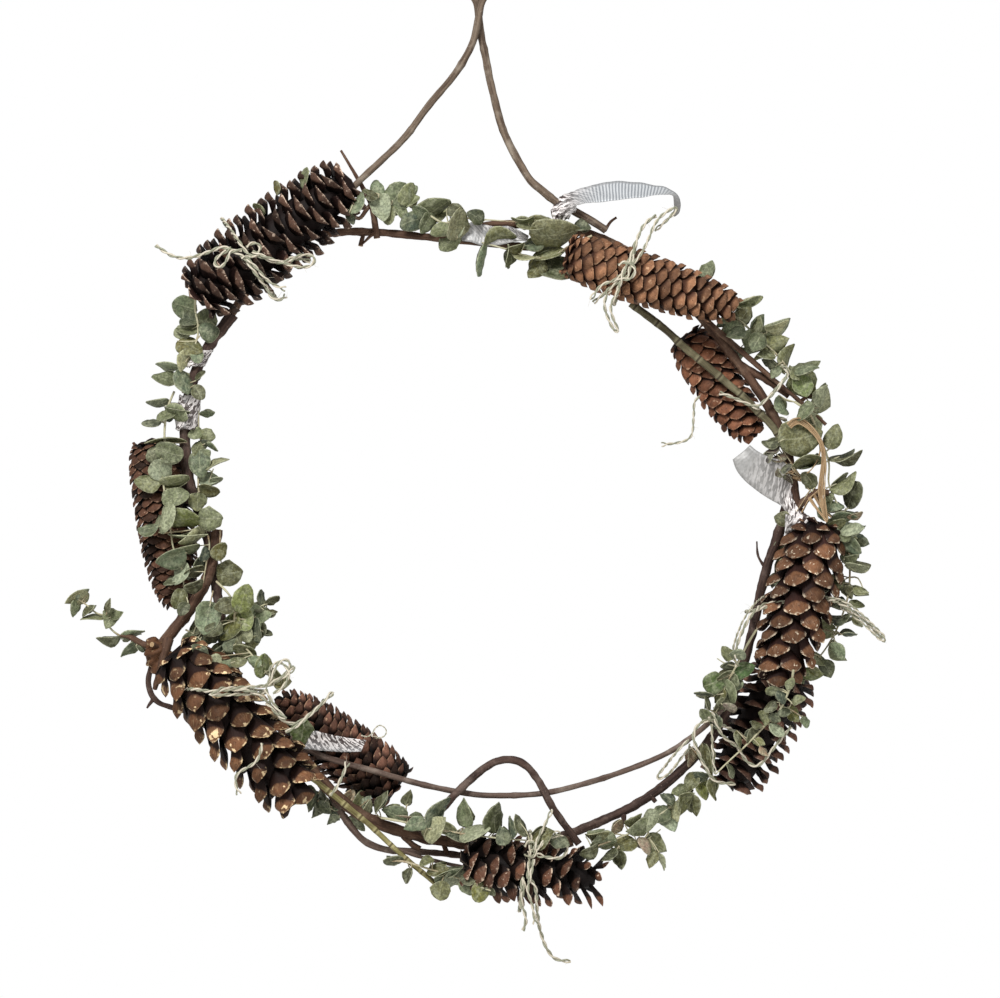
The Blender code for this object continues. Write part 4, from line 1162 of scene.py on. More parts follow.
# name, side of the wreath, its stems as rows of x and z, each after a semicolon, and its leaves
# as they look from the front: x and z of the middle, direction of the tip, length, width, tone
SPRIGS = (
    ("sprig_upper_left", "front", """
        -196 160, -199 150, -197 138, -198 128, -204 116, -210 108, -207 94; -199 128, -196 131,
        -190 139""", """
        -206 151 165 15 15 g, -203 142 200 12 8 d, -191 143 60 15 13 o, -190 134 -30 13 12 g,
        -208 134 200 10 9 p, -204 136 185 14 8 g, -202 125 -20 17 11 o, -206 115 250 14 7 p,
        -217 111 170 15 4 p, -219 104 185 15 9 g, -206 101 -70 16 10 g, -196 94 -60 10 8 d,
        -195 105 45 8 3 d, -203 144 120 11 9 d, -197 118 -80 9 8 g"""),
    ("sprig_left_outer", "front", """
        -213 95, -217 84, -219 70, -219 55, -221 45, -219 30, -218 20, -215 5, -213 -8, -208 -20,
        -206 -34, -203 -44; -216 2, -205 3, -195 5, -187 8; -190 0, -189 -8, -191 -18,
        -193 -30""", """
        -224 88 185 14 4.5 p, -228 75 183 12 4.5 d, -218 79 200 12 6 g, -211 79 -20 15 10 g,
        -210 84 -10 16 3 d, -218 61 182 25 3 g, -226 53 200 10 9 d, -216 54 -15 18 13 g,
        -222 43 265 13 14 p, -229 36 190 17 11 g, -212 36 15 18 7 g, -211 25 10 17 11 g,
        -206 11 5 20 12 y, -218 12 65 19 10 p, -229 4 195 13 7 g, -188 11 0 15 14 g,
        -203 -8 190 14 5 g, -200 -2 205 17 7 p, -214 -15 200 19 11 g, -208 -25 250 15 9 p,
        -196 -18 60 12 6 d, -199 -24 20 13 6 d, -199 -33 -160 12 7 d, -209 -42 250 13 10 o,
        -213 -30 210 12 5 d, -203 1 0 24 2.5 p, -192 -12 80 9 6 d, -206 -48 230 9 7 d"""),
    ("sprig_left_inner", "front", """
        -197 88, -197 70, -195 60, -197 47, -197 34, -196 24, -195 8; -191 30, -189 38, -187 44;
        -182 4, -182 -12, -181 -24""", """
        -191 81 5 9 4 g, -191 66 -20 10 8 g, -199 67 200 9 7 g, -188 58 -30 9 3 g, -198 57 240 9 7 g,
        -193 53 30 9 8 g, -196 47 -85 17 13 g, -184 47 25 15 3 p, -190 37 5 13 8 p,
        -190 31 -10 14 8 o, -197 22 -90 11 11 g, -182 -10 60 12 9 o, -176 -25 10 16 16 o,
        -194 60 20 8 6 d, -185 37 20 8 4 p"""),
    ("sprig_left_cluster", "front", """
        -184 -30, -176 -38, -172 -46, -172 -58, -168 -70, -160 -78, -152 -88, -144 -96; -205 -62,
        -198 -66, -190 -74, -182 -80; -186 -36, -188 -46""", """
        -200 -68 200 15 12 o, -190 -54 -100 20 16 g, -176 -60 -120 18 10 y, -166 -41 70 18 13 y,
        -167 -54 -60 17 15 y, -157 -62 -80 15 8 d, -165 -64 -70 12 8 p, -194 -76 -40 12 8 d,
        -183 -76 200 12 9 g, -174 -72 30 11 8 p, -165 -75 -20 15 9 g, -184 -82 220 10 8 p,
        -175 -82 200 11 7 g, -153 -85 80 15 8 y, -158 -82 150 9 7 g, -145 -92 -60 12 7 o,
        -140 -96 10 11 7 o, -168 -82 10 10 6 g, -180 -68 120 11 7 d, -188 -66 -60 10 8 d,
        -160 -70 60 10 7 g, -193 -66 -20 13 10 d, -187 -61 200 14 9 d, -178 -46 200 13 10 d,
        -198 -60 240 12 8 d, -171 -66 -60 11 9 d, -180 -76 30 12 8 d"""),
    ("sprig_left_tip", "front", """
        -176 -66, -168 -60, -162 -52, -156 -47, -152 -45; -160 -58, -156 -62, -152 -64""", """
        -154 -41 105 10 4.5 d, -148 -43 30 10 4.5 d, -157 -47 150 9 4 d, -154 -53 20 11 7 g,
        -149 -51 0 8 3 d, -152 -65 0 7 2.5 d, -160 -50 -150 9 6 g, -159 -57 -30 9 6 g"""),
    ("sprig_far_left", "front", """
        -222 -72, -232 -71, -240 -68, -249 -66, -256 -60, -258 -53, -262 -52, -266 -50, -272 -45,
        -279 -41, -283 -42; -240 -68, -243 -74""", """
        -256 -68 185 15 6 d, -240 -65 18 15 3.5 g, -242 -76 220 13 6 g, -256 -46 80 9 4 d,
        -255 -55 250 13 10 g, -267 -54 185 14 3 g, -269 -50 40 10 4 d, -277 -41 200 15 8 p,
        -279 -48 260 11 5 g, -273 -39 40 10 5 p, -250 -52 20 8 5 g, -235 -75 -40 6 3 d"""),
    ("sprig_top_left", "front", """
        -22 208, -35 206, -46 212, -60 219, -72 223, -84 227; -96 208, -94 216; -20 209, -8 208,
        6 207, 18 206""", """
        -79 229 120 10 8 g, -76 216 -75 17 13 p, -59 225 60 15 9 g, -67 222 60 22 17 g,
        -56 221 30 10 6 g, -63 212 -50 11 6 g, -57 207 200 14 12 d, -47 206 240 14 9 g,
        -41 214 35 22 12 g, -27 214 -10 11 9 d, -27 205 80 19 12 p, -37 200 190 13 9 g,
        -31 194 230 16 12 g, -92 217 60 14 7 g, -96 208 -70 10 5 d, -14 210 150 11 9 d,
        -71 211 -100 12 8 g, -84 224 160 10 6 d, -50 214 150 12 7 g"""),
    ("sprig_top", "front", """
        62 196, 48 190, 34 183, 20 184, 8 188, -10 193; 58 203, 40 206, 24 207, 8 207""", """
        17 208 180 14 5 g, 25 205 190 22 8 m, 38 199 5 30 16 m, 2 195 15 20 9 g, -11 182 255 21 4 g,
        7 184 265 14 5 o, 26 176 240 15 11 o, 40 177 -15 26 15 o, 34 186 10 20 8 g, 18 184 -15 17 3 p,
        56 203 0 11 7 d, 12 190 200 12 5 o, 24 193 200 14 7 g"""),
    ("sprig_right_rear", "back", """
        128 158, 145 152, 160 142, 172 131, 186 118, 196 104, 207 86; 172 131, 182 136, 190 139;
        150 150, 160 154, 170 158""", """
        139 174 60 14 9 g, 166 155 20 18 6 g, 163 146 60 14 12 o, 172 139 65 15 8 g,
        155 134 200 15 10 g, 169 127 250 16 15 g, 184 137 25 21 9 p, 185 127 20 16 13 g,
        176 118 190 13 6 o, 160 119 230 14 7 g, 192 117 70 19 8 g, 184 108 240 11 7 g,
        204 111 20 19 7 g, 203 99 -60 20 18 y, 214 90 65 20 11 p, 180 114 150 10 6 d,
        150 142 230 13 8 d, 195 107 110 10 6 g"""),
    ("sprig_right_outer", "front", """
        196 88, 206 80, 214 62, 219 48, 219 34, 224 22, 230 12; 219 49, 226 52; 217 31, 224 34;
        214 27, 206 30, 201 38""", """
        204 71 25 22 17 p, 203 81 230 14 7 g, 200 64 10 27 22 g, 222 65 70 16 11 g, 205 48 185 19 7 g,
        230 53 13 20 4 d, 206 37 130 12 9 d, 228 36 35 19 7 g, 234 27 70 17 12 d, 222 20 -20 13 7 g,
        229 12 10 15 7 g, 188 11 160 10 9 d, 182 57 215 9 4 k, 186 51 200 9 5 k, 180 52 250 8 4 k,
        190 44 230 8 4 k, 186 41 -60 6 3 k, 192 37 -40 7 3 k, 181 62 195 12 6 d, 189 86 -65 13 7 g,
        219 24 60 9 5 g, 236 14 15 10 4 n, 215 14 -60 10 6 o, 224 7 20 12 7 g"""),
    ("sprig_right_edge", "back", """
        218 16, 228 4, 232 -10, 233 -26, 231 -42, 226 -58, 219 -72, 210 -84, 198 -96; 232 -28,
        238 -28, 241 -34; 222 -64, 223 -70, 225 -74""", """
        234 4 5 18 10 p, 230 12 20 14 8 g, 234 -7 -50 17 11 g, 241 -4 -20 10 8 d, 237 -20 -10 18 7 p,
        224 -33 230 14 11 g, 239 -36 -20 13 6 g, 231 -37 -60 11 7 d, 237 -46 -10 10 5 g,
        238 -56 -50 10 5 o, 228 -55 10 14 5 d, 217 -63 -20 19 11 g, 231 -65 0 11 3 d,
        225 -77 -50 15 9 g, 218 -88 -60 12 10 d, 212 -81 -20 15 6 g, 209 -91 -10 13 8 y,
        199 -93 -50 14 11 g, 197 -102 10 13 7 p, 205 -76 -30 12 7 g, 233 -14 20 12 7 g,
        229 -1 200 10 8 g, 226 -46 200 10 7 d, 186 -7 250 13 8 d, 188 -20 240 14 8 o,
        184 -30 250 10 6 d"""),
    ("sprig_right_inner", "front", """
        170 -62, 162 -76, 156 -88, 150 -100, 146 -112, 141 -122; 156 -90, 149 -94; 158 -86, 150 -84,
        145 -81; 150 -104, 142 -105, 131 -105""", """
        162 -88 20 15 10 b, 143 -97 200 14 13 b, 151 -77 130 10 8 g, 158 -78 -10 10 6 p,
        152 -86 190 9 5 d, 150 -92 30 11 6 d, 151 -103 -60 16 7 g, 136 -105 175 12 2.5 d,
        157 -98 20 10 6 g, 148 -113 200 11 7 d, 137 -118 120 9 7 o, 139 -110 110 9 3 d,
        144 -122 -50 10 8 d, 155 -95 -60 10 6 g, 147 -106 -120 10 6 o, 153 -113 -20 9 5 n"""),
    ("sprig_lower_right", "front", """
        194 -88, 192 -100, 186 -115, 176 -126, 164 -138, 152 -149, 144 -157; 186 -112, 194 -115,
        200 -119""", """
        181 -102 200 12 8 g, 187 -106 -70 13 9 d, 180 -113 -140 13 8 d, 176 -120 -70 13 8 g,
        195 -118 -60 15 11 y, 203 -123 -60 10 7 g, 189 -117 190 11 7 d, 184 -128 -40 15 9 p,
        168 -132 220 14 9 d, 173 -136 -20 10 7 g, 159 -134 -80 14 6 o, 198 -108 30 12 7 g,
        176 -142 -50 10 5 n, 192 -97 60 11 8 g, 183 -120 -30 11 8 d, 171 -124 160 10 6 d,
        154 -155 -70 13 5 d"""),
    ("sprig_bottom_right", "front", """
        142 -156, 130 -166, 116 -178, 103 -187, 90 -195, 76 -200, 60 -205; 100 -196, 97 -201,
        103 -198, 108 -194; 80 -204, 81 -209""", """
        136 -167 -80 14 9 y, 128 -163 240 13 9 o, 134 -158 150 10 7 d, 143 -167 -90 14 6 o,
        138 -148 -75 20 7 o, 127 -146 -95 12 5 n, 120 -168 200 10 7 g, 122 -178 -100 13 7 o,
        128 -178 -70 15 7 o, 114 -187 -60 16 11 p, 117 -182 -70 13 8 p, 112 -174 150 10 6 d,
        107 -184 220 14 10 g, 101 -188 250 15 9 p, 93 -193 200 15 10 g, 97 -205 -60 12 6 n,
        105 -204 -30 15 13 o, 103 -214 250 11 7 o, 109 -215 -70 11 3 p, 84 -203 200 14 10 o,
        80 -192 60 10 6 n, 70 -202 190 16 10 g, 66 -196 10 14 6 g, 81 -213 -80 12 7 d,
        74 -210 220 11 5 d, 90 -187 30 12 6 g, 60 -206 200 12 8 d, 125 -171 20 10 6 g"""),
    ("sprig_bottom", "front", """
        -76 -185, -60 -188, -44 -192, -24 -195, -4 -197, 14 -198, 30 -199; -62 -184, -58 -175;
        -46 -192, -40 -182, -37 -175; 21 -198, 19 -192, 15 -187""", """
        -67 -182 160 16 10 g, -58 -172 70 10 7 d, -75 -175 60 15 4 d, -54 -189 200 14 10 g,
        -60 -186 170 14 5 n, -38 -182 58 23 9 d, -40 -192 40 18 13 p, -21 -182 95 18 9 g,
        -1 -184 85 19 11 o, 8 -190 90 14 5 d, 16 -188 120 15 6 d, 29 -195 30 16 10 o,
        -27 -197 170 13 6 d, -14 -195 15 19 8 p, 4 -195 100 12 9 d, 41 -199 -20 12 8 d,
        -32 -193 -20 12 8 g"""),
    ("sprig_bottom_under", "front", """
        -72 -213, -60 -214, -46 -218, -30 -223, -14 -228, -4 -231""", """
        -68 -213 180 12 6 d, -58 -223 250 10 5 d, -46 -214 200 9 5 o, -37 -232 260 12 12 g,
        -27 -226 200 19 10 p, -30 -218 10 15 5 d, -39 -219 190 13 7 o, -20 -230 -60 11 8 g,
        -11 -232 240 13 11 y, -5 -232 -20 8 5 d, -34 -223 30 14 7 g, -18 -222 20 12 7 d"""),
    ("sprig_lower_left", "back", """
        -140 -160, -130 -168, -120 -174, -110 -180, -100 -184; -112 -178, -100 -182, -92 -180,
        -84 -174""", """
        -133 -172 235 15 10 d, -120 -177 250 18 9 d, -113 -179 -30 13 9 d, -107 -187 215 10 6 d,
        -93 -191 -40 13 7 o, -92 -175 60 13 7 g, -86 -178 70 13 7 p, -126 -170 200 12 8 g,
        -104 -178 40 10 6 g, -98 -172 60 10 6 n, -90 -169 70 9 4 n"""),
)
# Leaves that lie over a cone, or tucked between its scales: sprig, clearance, rows as above
OVER = (
    ("sprig_lower_left", 2.0, "-128 -129 80 16 15 b"),
    ("sprig_top_left", -8.0, "-125 233 80 13 5 g, -144 227 100 9 4 o, -155 212 120 9 5 o"),
)
# Sprigs whose leaves have longer points
POINTED = ("sprig_right_edge", "sprig_bottom_right", "sprig_far_left", "sprig_bottom",
           "sprig_lower_left", "sprig_right_rear")
# Where the corners of a leaf's grid lie along it, and across it in half-widths
LEAF_STEPS = (0.0, 0.05, 0.14, 0.28, 0.44, 0.60, 0.74, 0.86, 0.95, 1.0)
LEAF_ACROSS = (-1.0, -0.55, 0.0, 0.55, 1.0)
# Half a leaf's thickness, and what leaves and stems stay clear of what they lie on
LEAF_HALF = 0.25
LEAF_CLEAR = 2.0
STEM_CLEAR = 1.6
# Leaves are drawn this much larger than in their table, and in some sprigs at another size
LEAF_SWELL = 1.12
SWELLS = {"sprig_lower_right": 0.8}
# No leaf is turned further away from the front than this
TURN_LIMIT = math.radians(76)
# The share of leaves that have a fellow behind them
TWINS = 0.85
# A stalk shorter than the first length sways, and one longer than the second isn't drawn
SWAYING_STALK = 16
LONGEST_STALK = 30
HARD = tuple(name for name, *_ in STEMS) + tuple(name for name, *_ in CONES)


def leaf_outline(share, front, back):
    """A leaf's half-width at a share of its length; larger powers make longer points."""
    top = front / (front + back)
    return (share ** front * (1 - share) ** back) / (top ** front * (1 - top) ** back)


def leaf_colour(tone, chance):
    """A leaf's own colour, a little lighter or darker and warmer or cooler than its tone."""
    drift = chance.uniform(0.86, 1.12)
    warm = chance.uniform(-7, 7)
    return paint(*(min(max(part * drift + shift, 12), 235)
                   for part, shift in zip(TONES[tone], (warm, 0, -warm))))[:3]


def leaf_axes(turn, tilt, narrow, chance):
    """A leaf's directions: its length, sideways, its width once rolled, and its upper side."""
    angle = math.radians(turn)
    flat = Vector((math.cos(angle), 0, math.sin(angle)))
    along = (flat * math.cos(tilt) + FRONT * math.sin(tilt)).normalized()
    roll = min(math.acos(min(narrow, 1.0)), TURN_LIMIT) * chance.choice((-1, 1))
    side = along.cross(Vector((0, 1, 0))).normalized()
    front = side.cross(along).normalized()
    if front.y > 0:
        front = -front
    across = side * math.cos(roll) + front * math.sin(roll)
    normal = across.cross(along).normalized()
    return along, side, across, -normal if normal.y > 0 else normal


def add_leaf(piece, place, turn, length, width, tone, tilt, point, chance):
    """A leaf whose middle is at place, that looks so long and wide from the front."""
    length = length / max(math.cos(tilt), 0.5)
    true = max(width, min(0.72 * length, width * 3.4))
    along, side, across, normal = leaf_axes(turn, tilt, width / true, chance)
    bend = chance.uniform(-0.16, 0.10) * length
    cup = chance.uniform(-0.22, 0.26) * true
    sweep = chance.uniform(-0.08, 0.08) * length
    twist = chance.uniform(-0.35, 0.35)
    front_power, back_power = (
        (0.75, 0.85) if length > 2.1 * true
        else (chance.uniform(0.40, 0.62), chance.uniform(0.50, 0.80) + point))
    colour = leaf_colour(tone, chance)
    seed = Vector((chance.uniform(0, 90), chance.uniform(0, 90), chance.uniform(0, 90)))
    upper, lower, marks = [], [], []
    for share in LEAF_STEPS:
        half = leaf_outline(share, front_power, back_power) if 0 < share < 1 else 0.03
        turned = twist * (share - 0.5)
        for step in LEAF_ACROSS:
            wave = noise.noise(seed + Vector((share * 4, step * 2, 0)))
            off = step * half * true / 2 * (1 + 0.24 * wave)
            rise = bend * 4 * share * (1 - share) + cup * (step * half) ** 2 + 0.05 * true * wave
            rise += off * math.sin(turned)
            spot = (place + along * ((share - 0.5) * length) + across * off * math.cos(turned)
                    + side * sweep * 4 * (share - 0.5) ** 2 + normal * rise)
            upper.append(spot + normal * LEAF_HALF)
            lower.append(spot - normal * LEAF_HALF)
            marks.append((*colour, 0.5 + step / 2))
    piece.add(upper + lower, plate_faces(len(LEAF_STEPS), len(LEAF_ACROSS)), marks + marks)
    return place - along * (length / 2)


def leaf_coat():
    """Eucalyptus leaves. Mark: the leaf's own colour, then across 0 to 1."""
    coat = Coat("eucalyptus", 0.62, 0.35)
    colour, across = coat.mark()
    side = abs(across - 0.5)
    blotch = coat.noise(210.0, 5.0, 0.68)
    speck = coat.noise(620.0, 4.0, 0.75)
    colour = coat.mix(coat.step(blotch, 0.44, 0.62) * 0.45, colour, (164, 167, 138))
    patch = coat.step(coat.noise(95.0, 5.0), 0.48, 0.64)
    colour = coat.mix(patch * 0.5, colour, (78, 82, 50))
    vein = 1.0 - coat.step(side, 0.012, 0.035)
    # The pale rim is a painted highlight along the leaf's edge
    rim = coat.step(side, 0.455, 0.495)
    colour = coat.mix(vein * 0.22 + rim * 0.4, colour, (196, 196, 164))
    spot = coat.dots(190.0, 0.05, 0.12) * coat.step(blotch, 0.5, 0.6)
    colour = coat.mix(spot * 0.8, colour, (52, 50, 40))
    colour = coat.shade(colour, coat.step(speck, 0.38, 0.62) * 0.72 + 0.62)
    return coat.finish(colour, speck + vein * -0.8, 0.0003, 0.5)


def twig_coat():
    """The cream to tan stems of eucalyptus."""
    coat = Coat("eucalyptus_stem", 0.65, 0.3)
    grain = coat.noise(600.0, 3.0)
    patch = coat.step(coat.noise(55.0, 4.0), 0.46, 0.66)
    colour = coat.mix(patch, (188, 183, 150), (150, 128, 98))
    colour = coat.mix(coat.step(grain, 0.45, 0.65) * 0.4, colour, (214, 209, 184))
    return coat.finish(colour, grain, 0.0003, 0.5)


def sprig_depth(name, side, x, z, clear):
    """The y for a part of a sprig: that of its CAD node, or clear of the stems and cones."""
    sign = -1 if side == "front" else 1
    depth = SOLIDS[name].tree.find_nearest(Vector((x, depth_of(name), z)))[0].y
    top = surface(x, z, side, 2.5, HARD)
    if top is not None:
        depth = sign * max(depth * sign, top * sign + clear)
    return depth


def smooth_depths(route, rounds=6):
    for _ in range(rounds):
        ys = [point.y for point in route]
        for index in range(1, len(route) - 1):
            route[index].y = (ys[index - 1] + ys[index] + ys[index + 1]) / 3


def add_sprig_stems(piece, name, side, text):
    """The sprig's stems, the first one thicker; gives every point of them."""
    laid = []
    for rows in text.split(";"):
        route = smooth_route(route_in(rows), 2.0)
        for point in route:
            point.y = sprig_depth(name, side, point.x, point.z, STEM_CLEAR)
        smooth_depths(route)
        laid.append(route)
    for index, route in enumerate(laid):
        size = 0.6 if index else 0.85
        add_tube(piece, route, lambda share, far: size * (1 - 0.4 * share), 7, index, 0.2, 0)
    return [point for route in laid for point in route]


def leaf_rows(name, side, text):
    """Every leaf of a sprig, with the side it lies on and its clearance there."""
    rows = [(row, side, LEAF_CLEAR) for row in text.split(",")]
    for owner, clear, extra in OVER:
        if owner == name:
            rows += [(row, "front", clear) for row in extra.split(",")]
    return rows


def add_stalk(piece, base, spots, chance):
    """A thin stalk from a leaf's foot to the nearest part of its sprig."""
    near = min(spots, key=lambda spot: (spot - base).length_squared)
    sag = (near + base) / 2
    gap = (near - base).length
    if gap < SWAYING_STALK:
        sag += nudge(0.6, chance)
    if gap < LONGEST_STALK:
        add_tube(piece, smooth_route([near, sag, base], 2.5),
                 lambda share, far: 0.5 - 0.12 * share, 5, 0.3, 0.0, 0.0)


def add_sprig(name, side, stems, leaves, stem_coat, blade_coat):
    chance = random.Random(name)
    twigs, blades = Piece(), Piece()
    spots = add_sprig_stems(twigs, name, side, stems)
    point = 0.25 if name in POINTED else 0.0
    grown = SWELLS.get(name, LEAF_SWELL)

    def grow(place, turn, length, width, tone, tilt):
        base = add_leaf(blades, place, turn, length, width, tone, tilt, point, chance)
        add_stalk(twigs, base, spots, chance)

    for order, (row, way, clear) in enumerate(leaf_rows(name, side, leaves)):
        *numbers, tone = row.split()
        x, z, turn, length, width = (float(number) for number in numbers)
        sign = -1 if way == "front" else 1
        depth = sprig_depth(name, way, x, z, clear + 0.25 * length) + sign * (order % 4) * 1.1
        tilt = chance.uniform(-0.15, 0.5) * -sign
        length, width = length * grown, width * grown
        grow(Vector((x, depth, z)), turn, length, width, tone, tilt)
        if chance.random() < TWINS:
            shift = nudge(0.8, chance)
            back = Vector((x, depth - sign * chance.uniform(7, 13), z)) + shift
            size = chance.uniform(0.68, 0.84)
            grow(back, turn + chance.gauss(0, 9), length * size, width * size, tone, -tilt)
    twigs.build(name + "_stems", stem_coat, "green_bark", name)
    blades.build(name + "_leaves", blade_coat, "leaf")


def add_sprigs():
    coats = (twig_coat(), leaf_coat())
    for sprig in SPRIGS:
        add_sprig(*sprig, *coats)


# ---------------------------------------------------------------- ribbon

# name, how it is held, flat width and length, then its stations from end to end: the x, z and
# depth of one edge, those of the other edge, how much painted shading of a curl it has (a
# lighter colour with ribs of painted shade), how much glitter it has, how crumpled it is
RIBBONS = (
    ("ribbon_loop", "gathered", (20, 112), """
        40 206 -6 47 207 -9 0.1 0.9 1.8, 36 210 -7 49 211 -10 0.1 0.9 2,
        36.5 216 -6 52 214 -11 0.1 0.9 1.6, 43 223 0 53 216.5 -11 0.2 0.8 0.8,
        53 228 6 59 218.5 -10 0.7 0.3 0.2, 66 231.8 9 67 219.5 -9 1 0.1 0, 79 234 9 79 220.3 -9 1 0 0,
        92 233 9 91 222 -9 1 0 0, 104 231.4 8 102 223.3 -9 1 0 0, 113 229 6 109 224.4 -8 0.8 0 0,
        118.5 225 4 115 224.2 -7 0.3 0 0, 121 219 2 116.5 220 -6 0.1 0 0,
        120 213 1 116.5 214 -4 0 0 0, 117 210 0 114.5 211.5 -3 0 0 0"""),
    ("ribbon_right", "laid", (20, 62), """
        167 59.5 0 155.5 50 0 0.1 0 0, 172 55.5 -2 158 43 -1 0.1 0 0,
        179 52 -3 163 36.5 -2 0.1 0.22 0, 188 49 -2 170 30.5 -3 0.1 0.34 0.1,
        194 43 0 177 25.5 -3 0.1 0.42 0.2, 195 34 1 184 21.5 -2 0.1 0.6 0.4,
        195 25 0 188.5 18.5 -2 0 1 0.8, 200 16 -4 190 14 -5 0 1 1.5, 206 13 -8 189.5 9 -8 0 1 2.2,
        207 8 -9 189.5 4 -9 0 1 2.2, 198 4 -6 190 0.5 -6 0 1 1.8"""),
    ("ribbon_top", "laid", (13, 46), """
        -25 200 0 -23 194 0 0.2 0.1 0.1, -17 206.5 0 -17 193.3 -1 0.3 0.2 0.1,
        -8 204.8 -1 -10 191 -2 0.3 0.3 0.2, 0 203.4 -1 0 191 -2 0.2 0.3 0.2,
        8 203.8 0 9 193 -1 0.3 0.4 0.2, 15 200.8 0 15 194 -1 0.2 0.5 0.3,
        21 197.5 0 20 193.6 -1 0.1 0.5 0.3"""),
    ("ribbon_lower_left", "laid", (13, 36), """
        -120 -128 -2 -127 -140 -2 0.5 1 0.3, -109 -131 3 -114 -141.6 3 0.5 1 0.3,
        -97.5 -133.4 6 -101 -142.6 6 0.5 1 0.3, -86 -134.8 7 -89.5 -142.4 7 0.5 1 0.3"""),
)
# name, height of its top and foot, radius and shift to the left, how far its ends stick out
RIBBON_BANDS = (
    ("ribbon_band_upper", 122.0, 111.5, 6.6, 2.0, 1.2),
    ("ribbon_band_lower", 92.5, 70.0, 7.4, -1.0, 2.2),
)
# Half a ribbon's thickness, how far it bows, and how far a crumple of 1 pushes it at most
RIBBON_HALF = 0.22
RIBBON_BOW = 0.9
CRUMPLE = 2.2
# A band's radius varies by this share of itself
BAND_ROUGH = 0.22
RIBBON_COLUMNS = 9
RIBBON_LEAST_ROWS = 12
RIB_SHADE_SPACING = 2.1
BAND_SIDES = 40
BAND_ROWS = 12
BAND_THICK = 0.6


def ribbon_coat():
    """Sheer ribbon. Mark: length in mm / 1000, across 0 to 1, share of painted curl shading, share of
    glitter.
    """
    coat = Coat("ribbon", 0.45, 0.5, 0.15)
    along, across, curl_shading, glitter = coat.marks()
    # Painted shade: dark ribs across the ribbon where it curls
    wave = coat.math("SINE", along * (TAU * 1000 / RIB_SHADE_SPACING) + coat.noise(90.0, 2.0) * 3.0)
    rib_shade = coat.step(wave, -0.5, 0.9) * curl_shading
    fine = coat.step(coat.noise(500.0, 3.0), 0.35, 0.65)
    colour = coat.mix(fine, (142, 140, 136), (160, 158, 155))
    # Where the ribbon curls it is lighter
    colour = coat.mix(curl_shading, colour, (212, 215, 217))
    colour = coat.mix(rib_shade * 0.75, colour, (116, 122, 130))
    # Painted shade: a grey strip along one edge of the curl, where its back shows
    edge = coat.step(across, 0.86, 0.93) * curl_shading
    colour = coat.mix(edge * 0.8, colour, (176, 178, 180))
    rise = across * 0.012
    slanted = coat.node("CombineXYZ", {
        "X": along * 0.24 + rise * -0.17, "Y": along * 0.71 + rise * 1.03})
    cells = coat.node("TexVoronoi", {"Vector": slanted, "Scale": 1000.0}, "Color")
    cell = coat.node("SeparateColor", {"Color": cells})
    sparkle = coat.mix(coat.step(cell, 0.36, 0.58), (70, 54, 50), (253, 246, 243))
    patch = coat.step(coat.noise(210.0, 4.0, 0.6), 0.28, 0.44)
    colour = coat.mix(glitter * patch * 0.94, colour, sparkle)
    return coat.finish(colour, rib_shade * -0.6 + glitter * cell * 0.8, 0.0006, 0.7)


def ribbon_marks(far, across, curl_shading, glitter):
    return (far / 1000, across, curl_shading, glitter)


def ribbon_place(stations, near, off, spot):
    """Both edges of a ribbon, its upper side and its looks at a place along its stations."""
    index = min(int(spot), len(stations) - 2)
    share = spot - index
    first, second = (curve_point(edge, index, share) for edge in (near, off))
    before = curve_point(near, index, max(share - 0.05, 0)) if share > 0.05 else first
    ahead = curve_point(near, index, min(share + 0.05, 1))
    normal = (ahead - before).cross(second - first)
    normal = normal.normalized() if normal.length > 1e-6 else FRONT
    looks = (one * (1 - share) + other * share
             for one, other in zip(stations[index][6:], stations[index + 1][6:]))
    return first, second, normal, *looks


def add_ribbon(name, held, flat, text, coat):
    """A ribbon between two edges, with a little bow and crumple."""
    stations = table(text)
    near, off = ([Vector((row[part], row[part + 2], row[part + 1])) for row in stations]
                 for part in (0, 3))
    node_depth = depth_of(name)
    rows = max(len(smooth_route(near, 1.2)), RIBBON_LEAST_ROWS)
    upper, lower, marks = [], [], []
    far = 0.0
    last = None
    for row in range(rows):
        spot = row / (rows - 1) * (len(stations) - 1)
        first, second, normal, curl_shading, glitter, crumple = ribbon_place(
            stations, near, off, spot)
        centre = (first + second) / 2
        far += (centre - last).length if last else 0.0
        last = centre
        for column in range(RIBBON_COLUMNS):
            across = column / (RIBBON_COLUMNS - 1)
            place = first.lerp(second, across)
            bow = math.sin(math.pi * across) * RIBBON_BOW
            rough = noise.noise(place * 0.42) * crumple * CRUMPLE
            rough += noise.noise(place * 0.13) * 0.8
            place = place + normal * (bow + rough) + Vector((0, node_depth, 0))
            upper.append(place + normal * RIBBON_HALF)
            lower.append(place - normal * RIBBON_HALF)
            near_glitter = min(glitter * (1.3 - 0.9 * across), 1.0)
            marks.append(ribbon_marks(far, 1 - across, curl_shading, near_glitter))
    piece = Piece()
    piece.add(upper + lower, plate_faces(rows, RIBBON_COLUMNS), marks + marks)
    made = piece.build(name + "_sheer", coat, "ribbon", name)


